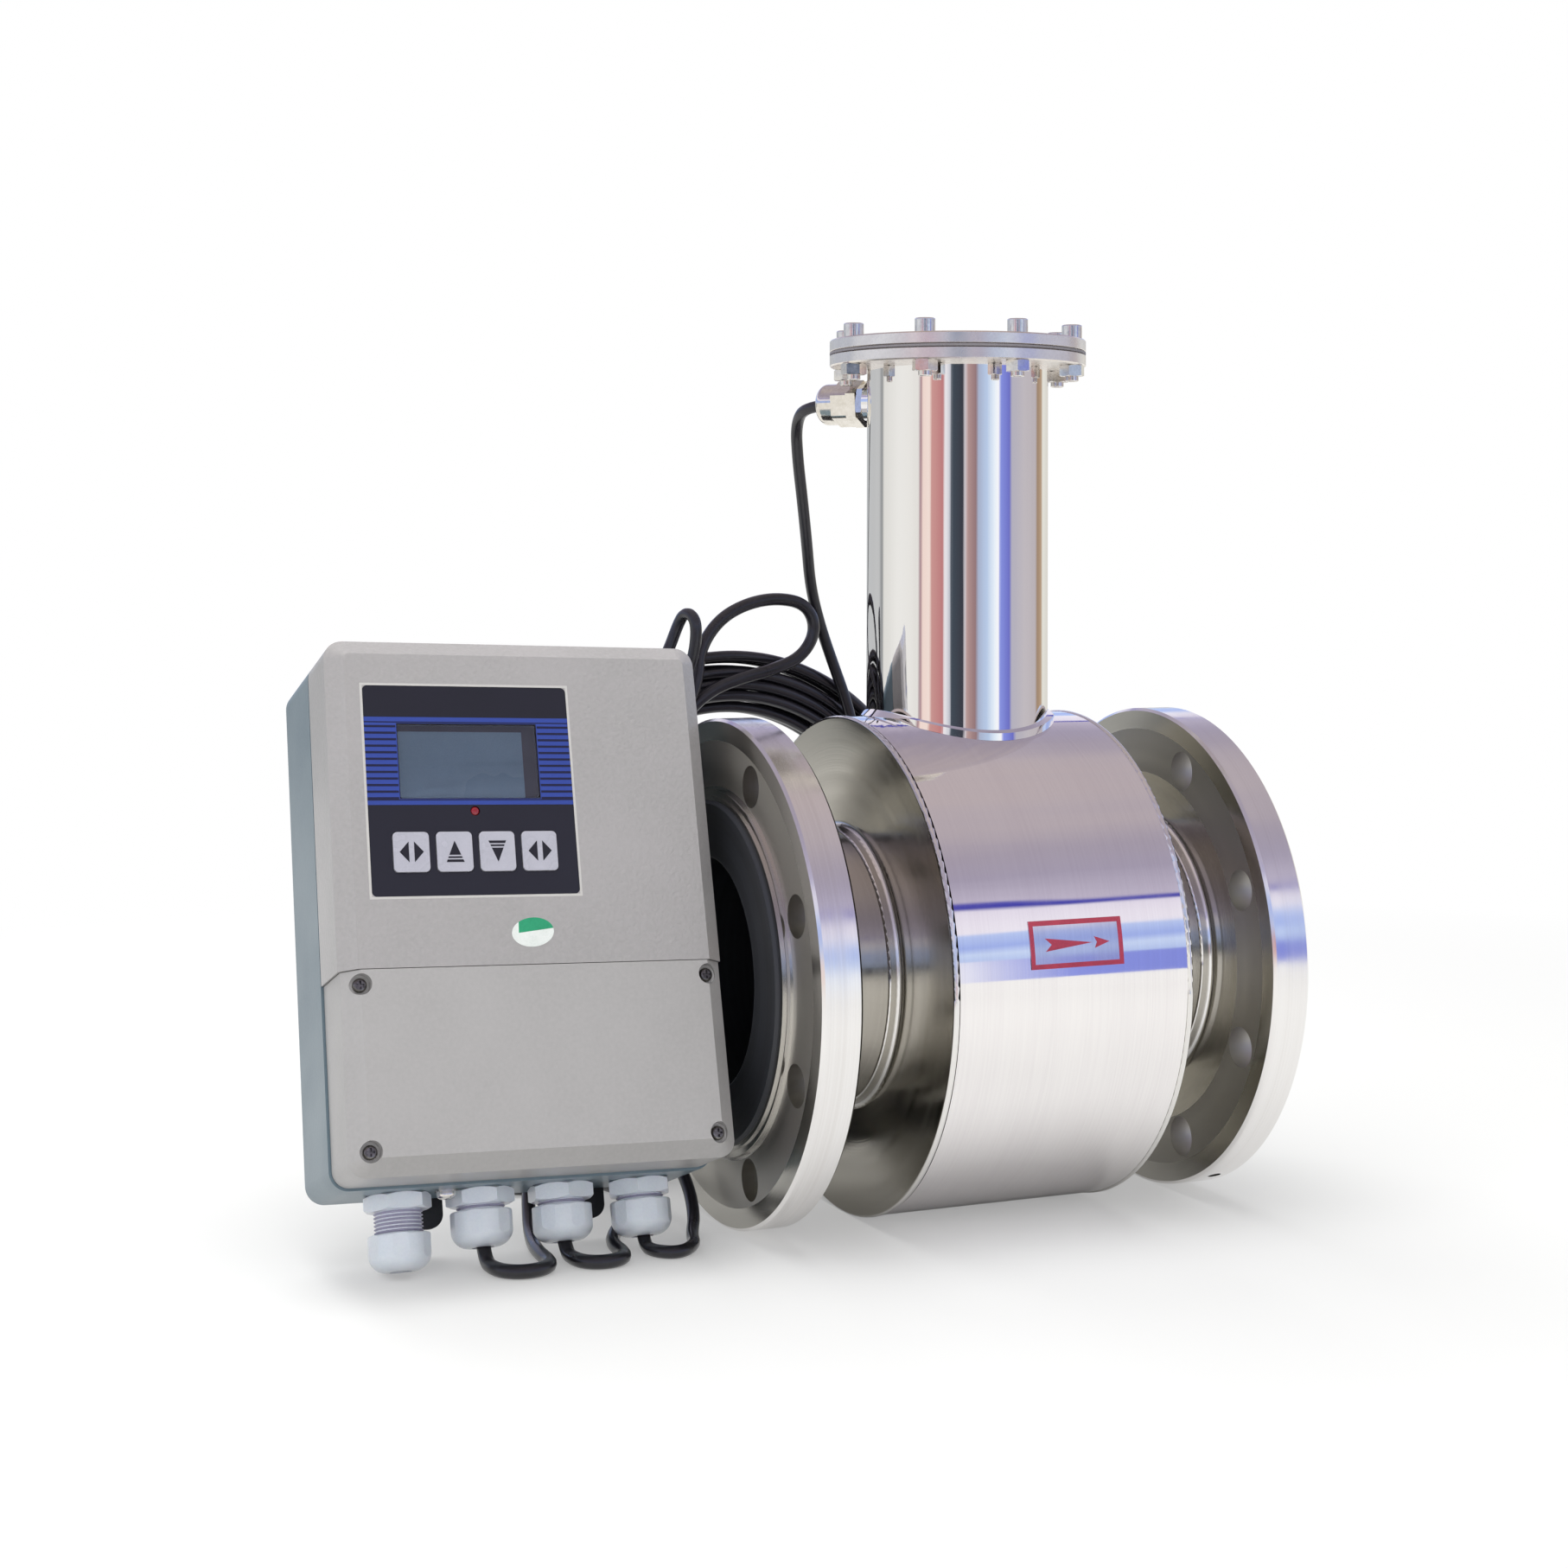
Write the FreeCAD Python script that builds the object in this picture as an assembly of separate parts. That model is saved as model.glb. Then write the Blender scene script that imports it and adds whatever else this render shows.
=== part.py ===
"""Electromagnetic flow meter with a remote converter: a flanged sensor, its cable and a display box.

The origin is on the flow axis, at the middle of the sensor. +X is the flow direction and +Z runs
up the neck. All lengths are millimetres. The table that the meter stands on is at -FLANGE_RADIUS.
"""
import FreeCAD, Part
import math
import os

from FreeCAD import Placement, Rotation, Vector

# Flow tube and its flanges
FACE_LENGTH = 231.0
BORE_RADIUS = 50.0
TUBE_RADIUS = 57.15
TUBE_WALL = 3.0
FLANGE_RADIUS = 110.0
FLANGE_THICKNESS = 18.0
FLANGE_BEVEL = 1.2
BOLT_COUNT = 8
BOLT_CIRCLE_INSET = 20.0
BOLT_HOLE_RADIUS = 9.0
RAISED_FACE_INSET = 11.0
RAISED_FACE_HEIGHT = 2.0
STEP_WIDTH = 2.8
STEP_HEIGHT = 1.0
HUB_RADIUS = 61.0
HUB_LENGTH = 6.0
HUB_FILLET = 2.5
LINER_LIP_INSET = 1.7
LINER_LIP_THICKNESS = 2.0
LINER_LIP_BEVEL = 1.3
EARTH_HOLE_RADIUS = 3.0
EARTH_HOLE_DEPTH = 12.0
EARTH_HOLE_INSET = 8.5
EARTH_HOLE_ANGLE = 244.4

# Drum round the coils
DRUM_RADIUS = 109.5
DRUM_WALL = 3.0
DRUM_LENGTH = 114.0
END_PLATE_LEDGE = 0.5
END_PLATE_THICKNESS = 3.0
END_PLATE_ROUND = 1.3
COLLAR_LENGTH = 6.0
WIRE_HOLE_RADIUS = 30.0

# Magnet system and electrodes
COIL_CLEARANCE = 0.3
COIL_THICKNESS = 12.0
COIL_LENGTH = 84.0
COIL_SPAN = 100.0
COIL_CORNER = 12.0
WINDOW_LENGTH = 44.0
WINDOW_WIDTH = 64.0
POLE_GAP = 2.0
YOKE_RADIUS = 79.0
YOKE_THICKNESS = 4.0
YOKE_LENGTH = 60.0
ELECTRODE_RADIUS = 4.0
ELECTRODE_END = 69.0
BUSH_RADIUS = 6.5
BUSH_FLANGE_RADIUS = 10.5
BUSH_FLANGE_END = 60.5
ELECTRODE_NUT_WIDTH = 13.0
ELECTRODE_NUT_HEIGHT = 4.5

# Neck and its cover
NECK_RADIUS = 41.0
NECK_WALL = 2.5
NECK_TOP = 272.1
NECK_WELD = 3.0
PLATE_RADIUS = 58.0
PLATE_THICKNESS = 5.5
PLATE_BEVEL = 0.6
GASKET_THICKNESS = 1.0
SPIGOT_CLEARANCE = 0.3
SPIGOT_DEPTH = 2.5
COVER_BOLT_COUNT = 8
COVER_BOLT_CIRCLE = 53.0
COVER_BOLT_TURN = 2.5
COVER_BOLT_RADIUS = 3.0
COVER_HOLE_RADIUS = 3.3
BOLT_HEAD_RADIUS = 4.5
BOLT_HEAD_HEIGHT = 6.0
SOCKET_WIDTH = 5.0
SOCKET_DEPTH = 3.0
COVER_NUT_WIDTH = 10.0
COVER_NUT_HEIGHT = 5.0
BOLT_TAIL = 2.4
BOARD_LEVEL = 226.0
BOARD_THICKNESS = 1.6
BOARD_CLEARANCE = 0.2
BOARD_CUT = 30.0
BLOCK_SIZE = (42.0, 14.0, 11.0)
BLOCK_POLES = 6

# Cable gland in the neck, measured from the neck's axis
NECK_GLAND_HEIGHT = 251.5
NECK_GLAND_ANGLE = 126.0
NECK_BOSS_RADIUS = 11.0
NECK_BOSS_FACE = 44.0
NECK_THREAD_RADIUS = 8.0
NECK_THREAD_START = 35.0
NECK_LOCKNUT_LENGTH = 4.0
NECK_HEX_LENGTH = 5.0
NECK_HEX_WIDTH = 19.0
NECK_SLEEVE_LENGTH = 6.0
NECK_CAP_HEX_LENGTH = 8.0
NECK_CAP_LENGTH = 17.7
NECK_CAP_RADIUS = 9.6
NECK_CAP_TIP_RADIUS = 5.6
NECK_SLEEVE_RADIUS = 7.0
NECK_SEAL_RADIUS = 5.6
NECK_SEAL_LENGTH = 7.0
NECK_BORE_RADIUS = 4.5
MOUTH_CLEARANCE = 0.7

# Flow label on the drum
LABEL_START = -21.0
LABEL_END = 23.0
LABEL_BOTTOM = 10.5
LABEL_TOP = 30.0
LABEL_THICKNESS = 0.3

# Converter box, in its own frame: x right, y up its face, z out of its face
CONVERTER_X = -211.3
CONVERTER_Y = -34.7
CONVERTER_LEAN = 19.77
CONVERTER_TURN = -1.97
BOX_WIDTH = 162.0
BOX_HEIGHT = 219.0
BOX_DEPTH = 81.4
BOX_CORNER = 8.0
BOX_WALL = 3.0
BOX_BACK_ROUND = 3.0
COVER_DEPTH = 34.6
COVER_WALL = 3.2
CHAMFER_WIDTH = 7.0
CHAMFER_DEPTH = 6.0
LOWER_COVER_HEIGHT = 81.35
SEAM_GAP = 0.3
TERMINAL_COVER_INSET = 1.0
BOX_GASKET_THICKNESS = 1.0
BOX_GASKET_INSET = 1.2
BOX_GASKET_WIDTH = 2.2
UPPER_SCREW_INSET = 8.0
LOWER_SCREW_INSET = 9.0
SCREW_BELOW_SEAM = 5.85
SCREW_ABOVE_FOOT = 10.5
COVER_SCREW_RADIUS = 2.0
COVER_SCREW_HEAD_RADIUS = 2.85
COVER_SCREW_HEAD_HEIGHT = 2.2
COVER_SCREW_LENGTH = 46.0
SCREW_RECESS_RADIUS = 4.25
SCREW_RECESS_DEPTH = 4.5
SCREW_POST_RADIUS = 4.0
SCREW_BOSS_RADIUS = 5.5
CROSS_WIDTH = 0.9
CROSS_LENGTH = 3.4
CROSS_DEPTH = 1.2

# Panel in the front cover
PANEL_LEFT = -67.2
PANEL_RIGHT = 20.0
PANEL_HEIGHT = 88.5
PANEL_BELOW_TOP = 20.5
PANEL_CORNER = 2.5
PANEL_RECESS = 1.2
OVERLAY_THICKNESS = 1.0
DISPLAY_LEFT = -53.3
DISPLAY_RIGHT = 5.7
DISPLAY_HEIGHT = 31.4
DISPLAY_BELOW_PANEL_TOP = 16.4
WINDOW_CLEARANCE = 0.25
WINDOW_FRONT = -0.4
MODULE_MARGIN = 2.6
MODULE_THICKNESS = 6.0
MODULE_CLEARANCE = 0.1
LED_X = -22.4
LED_ABOVE_PANEL_FOOT = 35.3
LED_RADIUS = 2.0
LED_ROUND = 1.4
KEY_COUNT = 4
KEY_LAST_X = 3.8
KEY_PITCH = 17.98
KEY_WIDTH = 15.0
KEY_HEIGHT = 16.6
KEY_ABOVE_PANEL_FOOT = 9.9
KEY_CORNER = 2.0
KEY_CLEARANCE = 0.3
KEY_RISE = 0.6
KEY_LIP = 0.8
KEY_LIP_THICKNESS = 1.0
KEY_LIP_GAP = 0.4
KEY_STEM_RADIUS = 2.5
KEY_STEM_LENGTH = 1.6
KEY_TRAVEL = 0.5
SWITCH_GAP = 0.3
SWITCH_SIZE = 6.0
PLUNGER_RADIUS = 1.75
PLUNGER_LENGTH = 1.5
DISPLAY_BOARD_LEVEL = -14.4
DISPLAY_POST_RADIUS = 2.5
DISPLAY_POST_INSET = 4.0

# Boards and terminals in the box
MAIN_BOARD_LEVEL = -62.0
MAIN_BOARD_SIDE_GAP = 8.0
MAIN_BOARD_TOP_GAP = 10.5
MAIN_BOARD_HEIGHT = 114.0
MAIN_POST_RADIUS = 3.5
MAIN_POST_INSET = 6.0
TRANSFORMER_SIZE = (44.0, 36.0, 24.0)
TRANSFORMER_INSET = (32.0, 34.0)
CORE_WIDTH_SHARE = 0.55
BOBBIN_LENGTH_SHARE = 0.64
BOBBIN_HEIGHT_SHARE = 0.7
BOBBIN_CORNER = 3.0
CAPACITOR_RADIUS = 6.0
CAPACITOR_HEIGHT = 16.0
CAPACITOR_INSETS = (62.0, 46.0)
CAPACITOR_BELOW_TOP = 20.0
CHIP_SIZE = 16.0
CHIP_HEIGHT = 2.4
CHIP_INSETS = ((58.0, 52.0), (26.0, 52.0), (58.0, 80.0))
HEADER_LENGTH = 80.0
HEADER_WIDTH = 9.0
HEADER_HEIGHT = 9.0
HEADER_INSET = (10.0, 4.0)
TERMINAL_STEP_SHARE = 0.6
TERMINAL_TOP_SHARE = 0.4
TERMINAL_WELL_SHARE = 0.22
TERMINAL_WELL_FLOOR_SHARE = 0.55
TERMINAL_SLOT_SHARE = 0.55
TERMINAL_SLOT_DEPTH_SHARE = 0.45
STRIP_LENGTH = 122.0
STRIP_WIDTH = 20.0
STRIP_HEIGHT = 16.0
STRIP_ABOVE_FOOT = 57.5
STRIP_POLES = 12
STRIP_PAD = 12.0

# Cable glands in the underside of the box
GLAND_PLACES = (-48.2, -13.6, 21.0, 55.6)
GLAND_DEPTH = -58.0
GLAND_THREAD_RADIUS = 10.0
GLAND_THREAD_LENGTH = 12.5
GLAND_HEX_WIDTH = 24.5
GLAND_HEX_LENGTH = 6.5
GLAND_SLEEVE_RADIUS = 9.2
GLAND_SLEEVE_LENGTH = 11.0
GLAND_BORE_RADIUS = 6.0
GLAND_GROOVE = 2.0
GLAND_CAP_LENGTH = 14.7
GLAND_CAP_RADIUS = 12.7
GLAND_CAP_ROUND = 7.0
GLAND_CAP_HEX = 24.6
GLAND_CAP_END = 3.2
GLAND_MOUTH_RADIUS = 4.6
GLAND_TURN_STEP = 17.0
GLAND_CAP_TURN = 11.0
NUT_TURN = 30.0
NECK_LOCKNUT_TURN = 12.0
LOOSE_CAP_TRAVEL = 7.2
LOCKNUT_WIDTH = 24.0
LOCKNUT_HEIGHT = 5.0
EARTH_SCREW_X = -30.5
EARTH_SCREW_Z = -48.0
EARTH_SCREW_RADIUS = 2.0
EARTH_SCREW_LENGTH = 9.5
EARTH_HEAD_RADIUS = 4.0
EARTH_HEAD_HEIGHT = 3.0
HEAD_ROUND_SHARE = 0.6
EARTH_WASHER_RADIUS = 4.5
EARTH_WASHER_THICKNESS = 1.0

# Wall bracket behind the box
BRACKET_OUTER = 47.8
BRACKET_INNER = 23.1
BRACKET_THICKNESS = 3.0
BRACKET_BELOW_BOX = 12.1
BRACKET_TOP = 55.0
BRACKET_SLOT_TOP = -70.0
BRACKET_CORNER = 6.0
BRACKET_SLOT_RADIUS = 4.5
BRACKET_SLOT_CORNER = 4.4
BRACKET_SLOT_LENGTH = 14.0
BRACKET_SLOT_LEVELS = (-52.0, 30.0)
BRACKET_SCREW_LEVELS = (-25.0, 5.0)
BRACKET_SCREW_RADIUS = 2.5
BRACKET_HEAD_RADIUS = 4.6
BRACKET_HEAD_HEIGHT = 2.4
BRACKET_SCREW_LENGTH = 8.0

# Cables
SENSOR_CABLE_RADIUS = 2.75
LEAD_RADIUS = 3.0
COIL_CENTRE_X = -72.7
COIL_PLANE_Y = 103.6
COIL_PLANE_SLOPE = 0.15
COIL_OUTER_RADIUS = 123.0
COIL_INNER_RADIUS = 93.0
COIL_DEPTH = 16.0
COIL_ROUND = 6.0
CABLE_LIFT = 0.1
CORD_BEND_SHARE = 0.45
CORD_START_IN_NECK = 64.0
CORD_CORNER_AT_NECK = 80.0
CORD_START_IN_GLAND = 8.0

# Worked-out values
ORIGIN = Vector(0, 0, 0)
X_AXIS = Vector(1, 0, 0)
Y_AXIS = Vector(0, 1, 0)
Z_AXIS = Vector(0, 0, 1)
SLACK = 1.0
FACE = FACE_LENGTH / 2
BOLT_CIRCLE_RADIUS = FLANGE_RADIUS - BOLT_CIRCLE_INSET
RAISED_FACE_RADIUS = BOLT_CIRCLE_RADIUS - RAISED_FACE_INSET
STEP_RADIUS = RAISED_FACE_RADIUS - STEP_WIDTH
LINER_LIP_RADIUS = STEP_RADIUS - LINER_LIP_INSET
END_PLATE_RADIUS = DRUM_RADIUS + END_PLATE_LEDGE
RAISED_FACE = FACE + RAISED_FACE_HEIGHT
TUBE_END = RAISED_FACE + STEP_HEIGHT
FLANGE_BACK = FACE - FLANGE_THICKNESS
TABLE_LEVEL = -FLANGE_RADIUS
DRUM_END = DRUM_LENGTH / 2
SHELL_END = DRUM_END - END_PLATE_THICKNESS
WINDING_RADIUS = TUBE_RADIUS + COIL_CLEARANCE
YOKE_BORE = YOKE_RADIUS - YOKE_THICKNESS
COVER_BASE = NECK_TOP + GASKET_THICKNESS
COVER_TOP = COVER_BASE + PLATE_THICKNESS
NECK_GLAND_AXIS = Rotation(Z_AXIS, NECK_GLAND_ANGLE).multVec(X_AXIS)
NECK_GLAND_FOOT = Vector(0, 0, NECK_GLAND_HEIGHT)
BOX_BOTTOM = -BOX_HEIGHT / 2
SEAM_LEVEL = BOX_BOTTOM + LOWER_COVER_HEIGHT
COVER_SCREW_PLACES = tuple(
    (side * (BOX_WIDTH / 2 - inset), level)
    for inset, level in ((UPPER_SCREW_INSET, SEAM_LEVEL - SCREW_BELOW_SEAM),
                         (LOWER_SCREW_INSET, BOX_BOTTOM + SCREW_ABOVE_FOOT))
    for side in (-1, 1))
PANEL_TOP = BOX_HEIGHT / 2 - PANEL_BELOW_TOP
PANEL_BOTTOM = PANEL_TOP - PANEL_HEIGHT
DISPLAY_TOP = PANEL_TOP - DISPLAY_BELOW_PANEL_TOP
DISPLAY_BOTTOM = DISPLAY_TOP - DISPLAY_HEIGHT
LED_Y = PANEL_BOTTOM + LED_ABOVE_PANEL_FOOT
KEY_BOTTOM = PANEL_BOTTOM + KEY_ABOVE_PANEL_FOOT
KEY_TOP = KEY_BOTTOM + KEY_HEIGHT
MAIN_BOARD_RIGHT = BOX_WIDTH / 2 - BOX_WALL - MAIN_BOARD_SIDE_GAP
MAIN_BOARD_LEFT = -MAIN_BOARD_RIGHT
MAIN_BOARD_TOP = BOX_HEIGHT / 2 - BOX_WALL - MAIN_BOARD_TOP_GAP
MAIN_BOARD_BOTTOM = MAIN_BOARD_TOP - MAIN_BOARD_HEIGHT
STRIP_Y = BOX_BOTTOM + STRIP_ABOVE_FOOT
HOUSING_FRONT = -COVER_DEPTH - BOX_GASKET_THICKNESS
BACK_INSIDE = -BOX_DEPTH + BOX_WALL
GLAND_CAP_START = BOX_BOTTOM - GLAND_HEX_LENGTH - GLAND_GROOVE
GLAND_CAP_TIP = GLAND_CAP_START - GLAND_CAP_LENGTH
GLAND_SLEEVE_TIP = BOX_BOTTOM - GLAND_HEX_LENGTH - GLAND_SLEEVE_LENGTH
KEY_XS = tuple(KEY_LAST_X - KEY_PITCH * (KEY_COUNT - 1 - k) for k in range(KEY_COUNT))
KEY_LIP_FRONT = -COVER_WALL - KEY_LIP_GAP
KEY_STEM_END = KEY_LIP_FRONT - KEY_LIP_THICKNESS - KEY_STEM_LENGTH
LEAD_LEVEL = TABLE_LEVEL + LEAD_RADIUS + CABLE_LIFT
SENSOR_CABLE_LEVEL = TABLE_LEVEL + SENSOR_CABLE_RADIUS + CABLE_LIFT


# Basic forms
def bar(radius, start, end, axis=X_AXIS, foot=ORIGIN):
    """Round bar along an axis, from start to end, measured from foot."""
    return Part.makeCylinder(radius, end - start, foot + axis * start, axis)


def ring(outer, inner, start, end, axis=X_AXIS, foot=ORIGIN):
    """Round bar with a bore right through it."""
    bore = bar(inner, start - SLACK, end + SLACK, axis, foot)
    return bar(outer, start, end, axis, foot).cut(bore)


def corner_arc(before, at, after, radius):
    """Start, middle and end of the arc that rounds the corner at one point of a path."""
    back = (before - at).normalize()
    ahead = (after - at).normalize()
    half = back.getAngle(ahead) / 2
    reach = radius / math.tan(half)
    to_centre = (back + ahead).normalize()
    centre = at + to_centre * (radius / math.sin(half))
    return at + back * reach, centre - to_centre * radius, at + ahead * reach


def outline(points, radii=None):
    """Closed wire through corner points, each rounded to its own radius (0 leaves it sharp)."""
    radii = radii or [0] * len(points)
    stops = []
    for index, (point, radius) in enumerate(zip(points, radii)):
        if radius:
            after = points[(index + 1) % len(points)]
            stops.append(corner_arc(points[index - 1], point, after, radius))
        else:
            stops.append((point, None, point))
    edges = []
    for index, (_, _, leave) in enumerate(stops):
        enter, middle, end = stops[(index + 1) % len(stops)]
        if leave.distanceToPoint(enter) > 1e-6:
            edges.append(Part.LineSegment(leave, enter).toShape())
        if middle is not None:
            edges.append(Part.Arc(enter, middle, end).toShape())
    return Part.Wire(edges)


def turned(profile, radii=None, axis=X_AXIS, radial=Z_AXIS, foot=ORIGIN):
    """Solid of revolution from a profile of (along, radius) corners."""
    points = [foot + axis * along + radial * radius for along, radius in profile]
    return Part.Face(outline(points, radii)).revolve(foot, axis, 360)


def hexagon(width, start, end, axis, foot=ORIGIN, turn=0.0):
    """Hexagonal bar of a given width across flats, along an axis."""
    across = Rotation(Z_AXIS, axis).multVec(X_AXIS)
    reach = width / 2 / math.cos(math.pi / 6)
    points = []
    for k in range(6):
        spoke = Rotation(axis, 60 * k + turn).multVec(across)
        points.append(foot + axis * start + spoke * reach)
    return Part.Face(outline(points)).extrude(axis * (end - start))


def hex_nut(width, bore, start, end, axis, foot=ORIGIN, turn=0.0):
    """Hexagon nut with turned-off corners and a plain bore."""
    reach = width / 2 / math.cos(math.pi / 6)
    length = end - start
    bevel = reach - width / 2
    profile = ((start, 0), (start, width / 2), (start + bevel / 2, reach),
               (start + length - bevel / 2, reach), (end, width / 2), (end, 0))
    radial = Rotation(Z_AXIS, axis).multVec(X_AXIS)
    blank = turned(profile, None, axis, radial, foot)
    nut = hexagon(width, start, end, axis, foot, turn).common(blank)
    return nut.cut(bar(bore, start - SLACK, end + SLACK, axis, foot))


def slab(left, right, bottom, top, back, front, corner=0.0):
    """Upright block in the converter's frame, its four long edges rounded."""
    points = (Vector(left, bottom, back), Vector(right, bottom, back),
              Vector(right, top, back), Vector(left, top, back))
    radii = [corner] * 4
    return Part.Face(outline(points, radii)).extrude(Z_AXIS * (front - back))


def pattern(solid, places):
    """Copies of a solid moved to each place."""
    copies = []
    for place in places:
        copy = solid.copy()
        copy.translate(place)
        copies.append(copy)
    return copies


def turned_copies(solid, count, first, axis, foot=ORIGIN):
    """Copies of a solid, evenly turned round an axis."""
    copies = []
    for k in range(count):
        copy = solid.copy()
        copy.rotate(foot, axis, first + 360.0 / count * k)
        copies.append(copy)
    return copies


def fused(solids):
    """All solids joined into one."""
    whole = solids[0].multiFuse(solids[1:])
    return whole.removeSplitter()


def cross_recess(top, foot, axis, across):
    """Cross-shaped driver recess cut into a screw head whose top is at a level."""
    other = axis.cross(across)
    start = foot + axis * (top - CROSS_DEPTH)
    slots = []
    for along, aside in ((across, other), (other, across)):
        corners = [start + along * (a * CROSS_LENGTH / 2) + aside * (b * CROSS_WIDTH / 2)
                   for a, b in ((-1, -1), (1, -1), (1, 1), (-1, 1))]
        slots.append(Part.Face(outline(corners)).extrude(axis * (CROSS_DEPTH + SLACK)))
    return slots[0].fuse(slots[1])


# Flow tube, liner and flanges
def measuring_tube():
    """Non-magnetic tube between the flanges, drilled for the two electrode bushes."""
    tube = ring(TUBE_RADIUS, TUBE_RADIUS - TUBE_WALL, -TUBE_END, TUBE_END)
    reach = TUBE_RADIUS + SLACK
    return tube.cut(bar(BUSH_RADIUS, -reach, reach, Y_AXIS))


def rubber_liner():
    """Bonded rubber sleeve whose two lips turn out over the flange faces."""
    lip_face = TUBE_END + LINER_LIP_THICKNESS
    lining = TUBE_RADIUS - TUBE_WALL
    profile = ((-lip_face, BORE_RADIUS), (-lip_face, LINER_LIP_RADIUS - LINER_LIP_BEVEL),
               (-lip_face + LINER_LIP_BEVEL, LINER_LIP_RADIUS), (-TUBE_END, LINER_LIP_RADIUS),
               (-TUBE_END, lining), (TUBE_END, lining), (TUBE_END, LINER_LIP_RADIUS),
               (lip_face - LINER_LIP_BEVEL, LINER_LIP_RADIUS),
               (lip_face, LINER_LIP_RADIUS - LINER_LIP_BEVEL), (lip_face, BORE_RADIUS))
    inner_round = LINER_LIP_THICKNESS / 2
    radii = [inner_round, 0, 0, 0, 0, 0, 0, 0, 0, inner_round]
    sleeve = turned(profile, radii)
    return sleeve.cut(bar(ELECTRODE_RADIUS, -TUBE_RADIUS, TUBE_RADIUS, Y_AXIS))


def outlet_flange():
    """Raised-face flange with its hub, bolt holes and an earth screw hole in the rim."""
    hub_end = FLANGE_BACK - HUB_LENGTH
    rim = FLANGE_RADIUS - FLANGE_BEVEL
    profile = ((hub_end, TUBE_RADIUS), (hub_end, HUB_RADIUS), (FLANGE_BACK, HUB_RADIUS),
               (FLANGE_BACK, rim), (FLANGE_BACK + FLANGE_BEVEL, FLANGE_RADIUS),
               (FACE - FLANGE_BEVEL, FLANGE_RADIUS), (FACE, rim), (FACE, RAISED_FACE_RADIUS),
               (RAISED_FACE, RAISED_FACE_RADIUS), (RAISED_FACE, STEP_RADIUS),
               (TUBE_END, STEP_RADIUS), (TUBE_END, TUBE_RADIUS))
    radii = [0, 1.0, HUB_FILLET] + [0] * (len(profile) - 3)
    disc = turned(profile, radii)
    hole = bar(BOLT_HOLE_RADIUS, hub_end, TUBE_END, X_AXIS, Z_AXIS * BOLT_CIRCLE_RADIUS)
    half_step = 180.0 / BOLT_COUNT
    return disc.cut(turned_copies(hole, BOLT_COUNT, half_step, X_AXIS))


def earth_hole():
    """Blind hole for the earth screw, drilled into the outlet flange from its rim."""
    angle = math.radians(EARTH_HOLE_ANGLE)
    radial = Vector(0, math.cos(angle), math.sin(angle))
    foot = Vector(FACE - EARTH_HOLE_INSET, 0, 0)
    bottom = FLANGE_RADIUS - EARTH_HOLE_DEPTH
    return bar(EARTH_HOLE_RADIUS, bottom, FLANGE_RADIUS + SLACK, radial, foot)


# Drum
def housing_shell():
    """Rolled drum shell with the wire passage under the neck."""
    shell = ring(DRUM_RADIUS, DRUM_RADIUS - DRUM_WALL, -SHELL_END, SHELL_END)
    return shell.cut(bar(WIRE_HOLE_RADIUS, 0, DRUM_RADIUS + SLACK, Z_AXIS))


def outlet_end_plate():
    """Drum end plate with a rounded rim and the welded collar round the tube."""
    collar_end = DRUM_END + COLLAR_LENGTH
    profile = ((SHELL_END, TUBE_RADIUS), (SHELL_END, END_PLATE_RADIUS),
               (DRUM_END, END_PLATE_RADIUS), (DRUM_END, HUB_RADIUS),
               (collar_end, HUB_RADIUS), (collar_end, TUBE_RADIUS))
    radii = [0, END_PLATE_ROUND, END_PLATE_ROUND, HUB_FILLET, 1.0, 0]
    return turned(profile, radii)


def flow_label():
    """Thin curved label plate on the front of the drum."""
    skin = ring(DRUM_RADIUS + LABEL_THICKNESS, DRUM_RADIUS, LABEL_START, LABEL_END)
    window = Part.makeBox(LABEL_END - LABEL_START, DRUM_RADIUS + SLACK, LABEL_TOP - LABEL_BOTTOM,
                          Vector(LABEL_START, -DRUM_RADIUS - SLACK, LABEL_BOTTOM))
    return skin.common(window)


# Magnet system and electrodes
def saddle(outer, inner, length, width, corner, sign):
    """Piece of a tube wall with a rounded outline, lying over or under the flow tube."""
    points = (Vector(-length / 2, -width / 2, 0), Vector(length / 2, -width / 2, 0),
              Vector(length / 2, width / 2, 0), Vector(-length / 2, width / 2, 0))
    prism = Part.Face(outline(points, [corner] * 4)).extrude(Z_AXIS * (sign * (outer + SLACK)))
    return prism.common(ring(outer, inner, -length, length))


def field_coil(sign):
    """Saddle-shaped winding with a window in its middle."""
    outer = WINDING_RADIUS + COIL_THICKNESS
    width = 2 * outer * math.sin(math.radians(COIL_SPAN / 2))
    winding = saddle(outer, WINDING_RADIUS, COIL_LENGTH, width, COIL_CORNER, sign)
    window = saddle(outer + SLACK, WINDING_RADIUS - SLACK, WINDOW_LENGTH, WINDOW_WIDTH,
                    COIL_CORNER / 2, sign)
    return winding.cut(window)


def pole_shoes():
    """Soft-iron shoes that fill the coil windows and carry the yoke."""
    return [saddle(YOKE_BORE, WINDING_RADIUS, WINDOW_LENGTH - 2 * POLE_GAP,
                   WINDOW_WIDTH - 2 * POLE_GAP, COIL_CORNER / 2, sign) for sign in (1, -1)]


def magnet_yoke():
    """Rolled return ring round the pole shoes."""
    return ring(YOKE_RADIUS, YOKE_BORE, -YOKE_LENGTH / 2, YOKE_LENGTH / 2)


def electrodes():
    """Two pins through tube and liner, cut flush with the bore."""
    bore = bar(BORE_RADIUS, -FACE, FACE)
    return [bar(ELECTRODE_RADIUS, 0, ELECTRODE_END, Y_AXIS * sign).cut(bore) for sign in (1, -1)]


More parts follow.
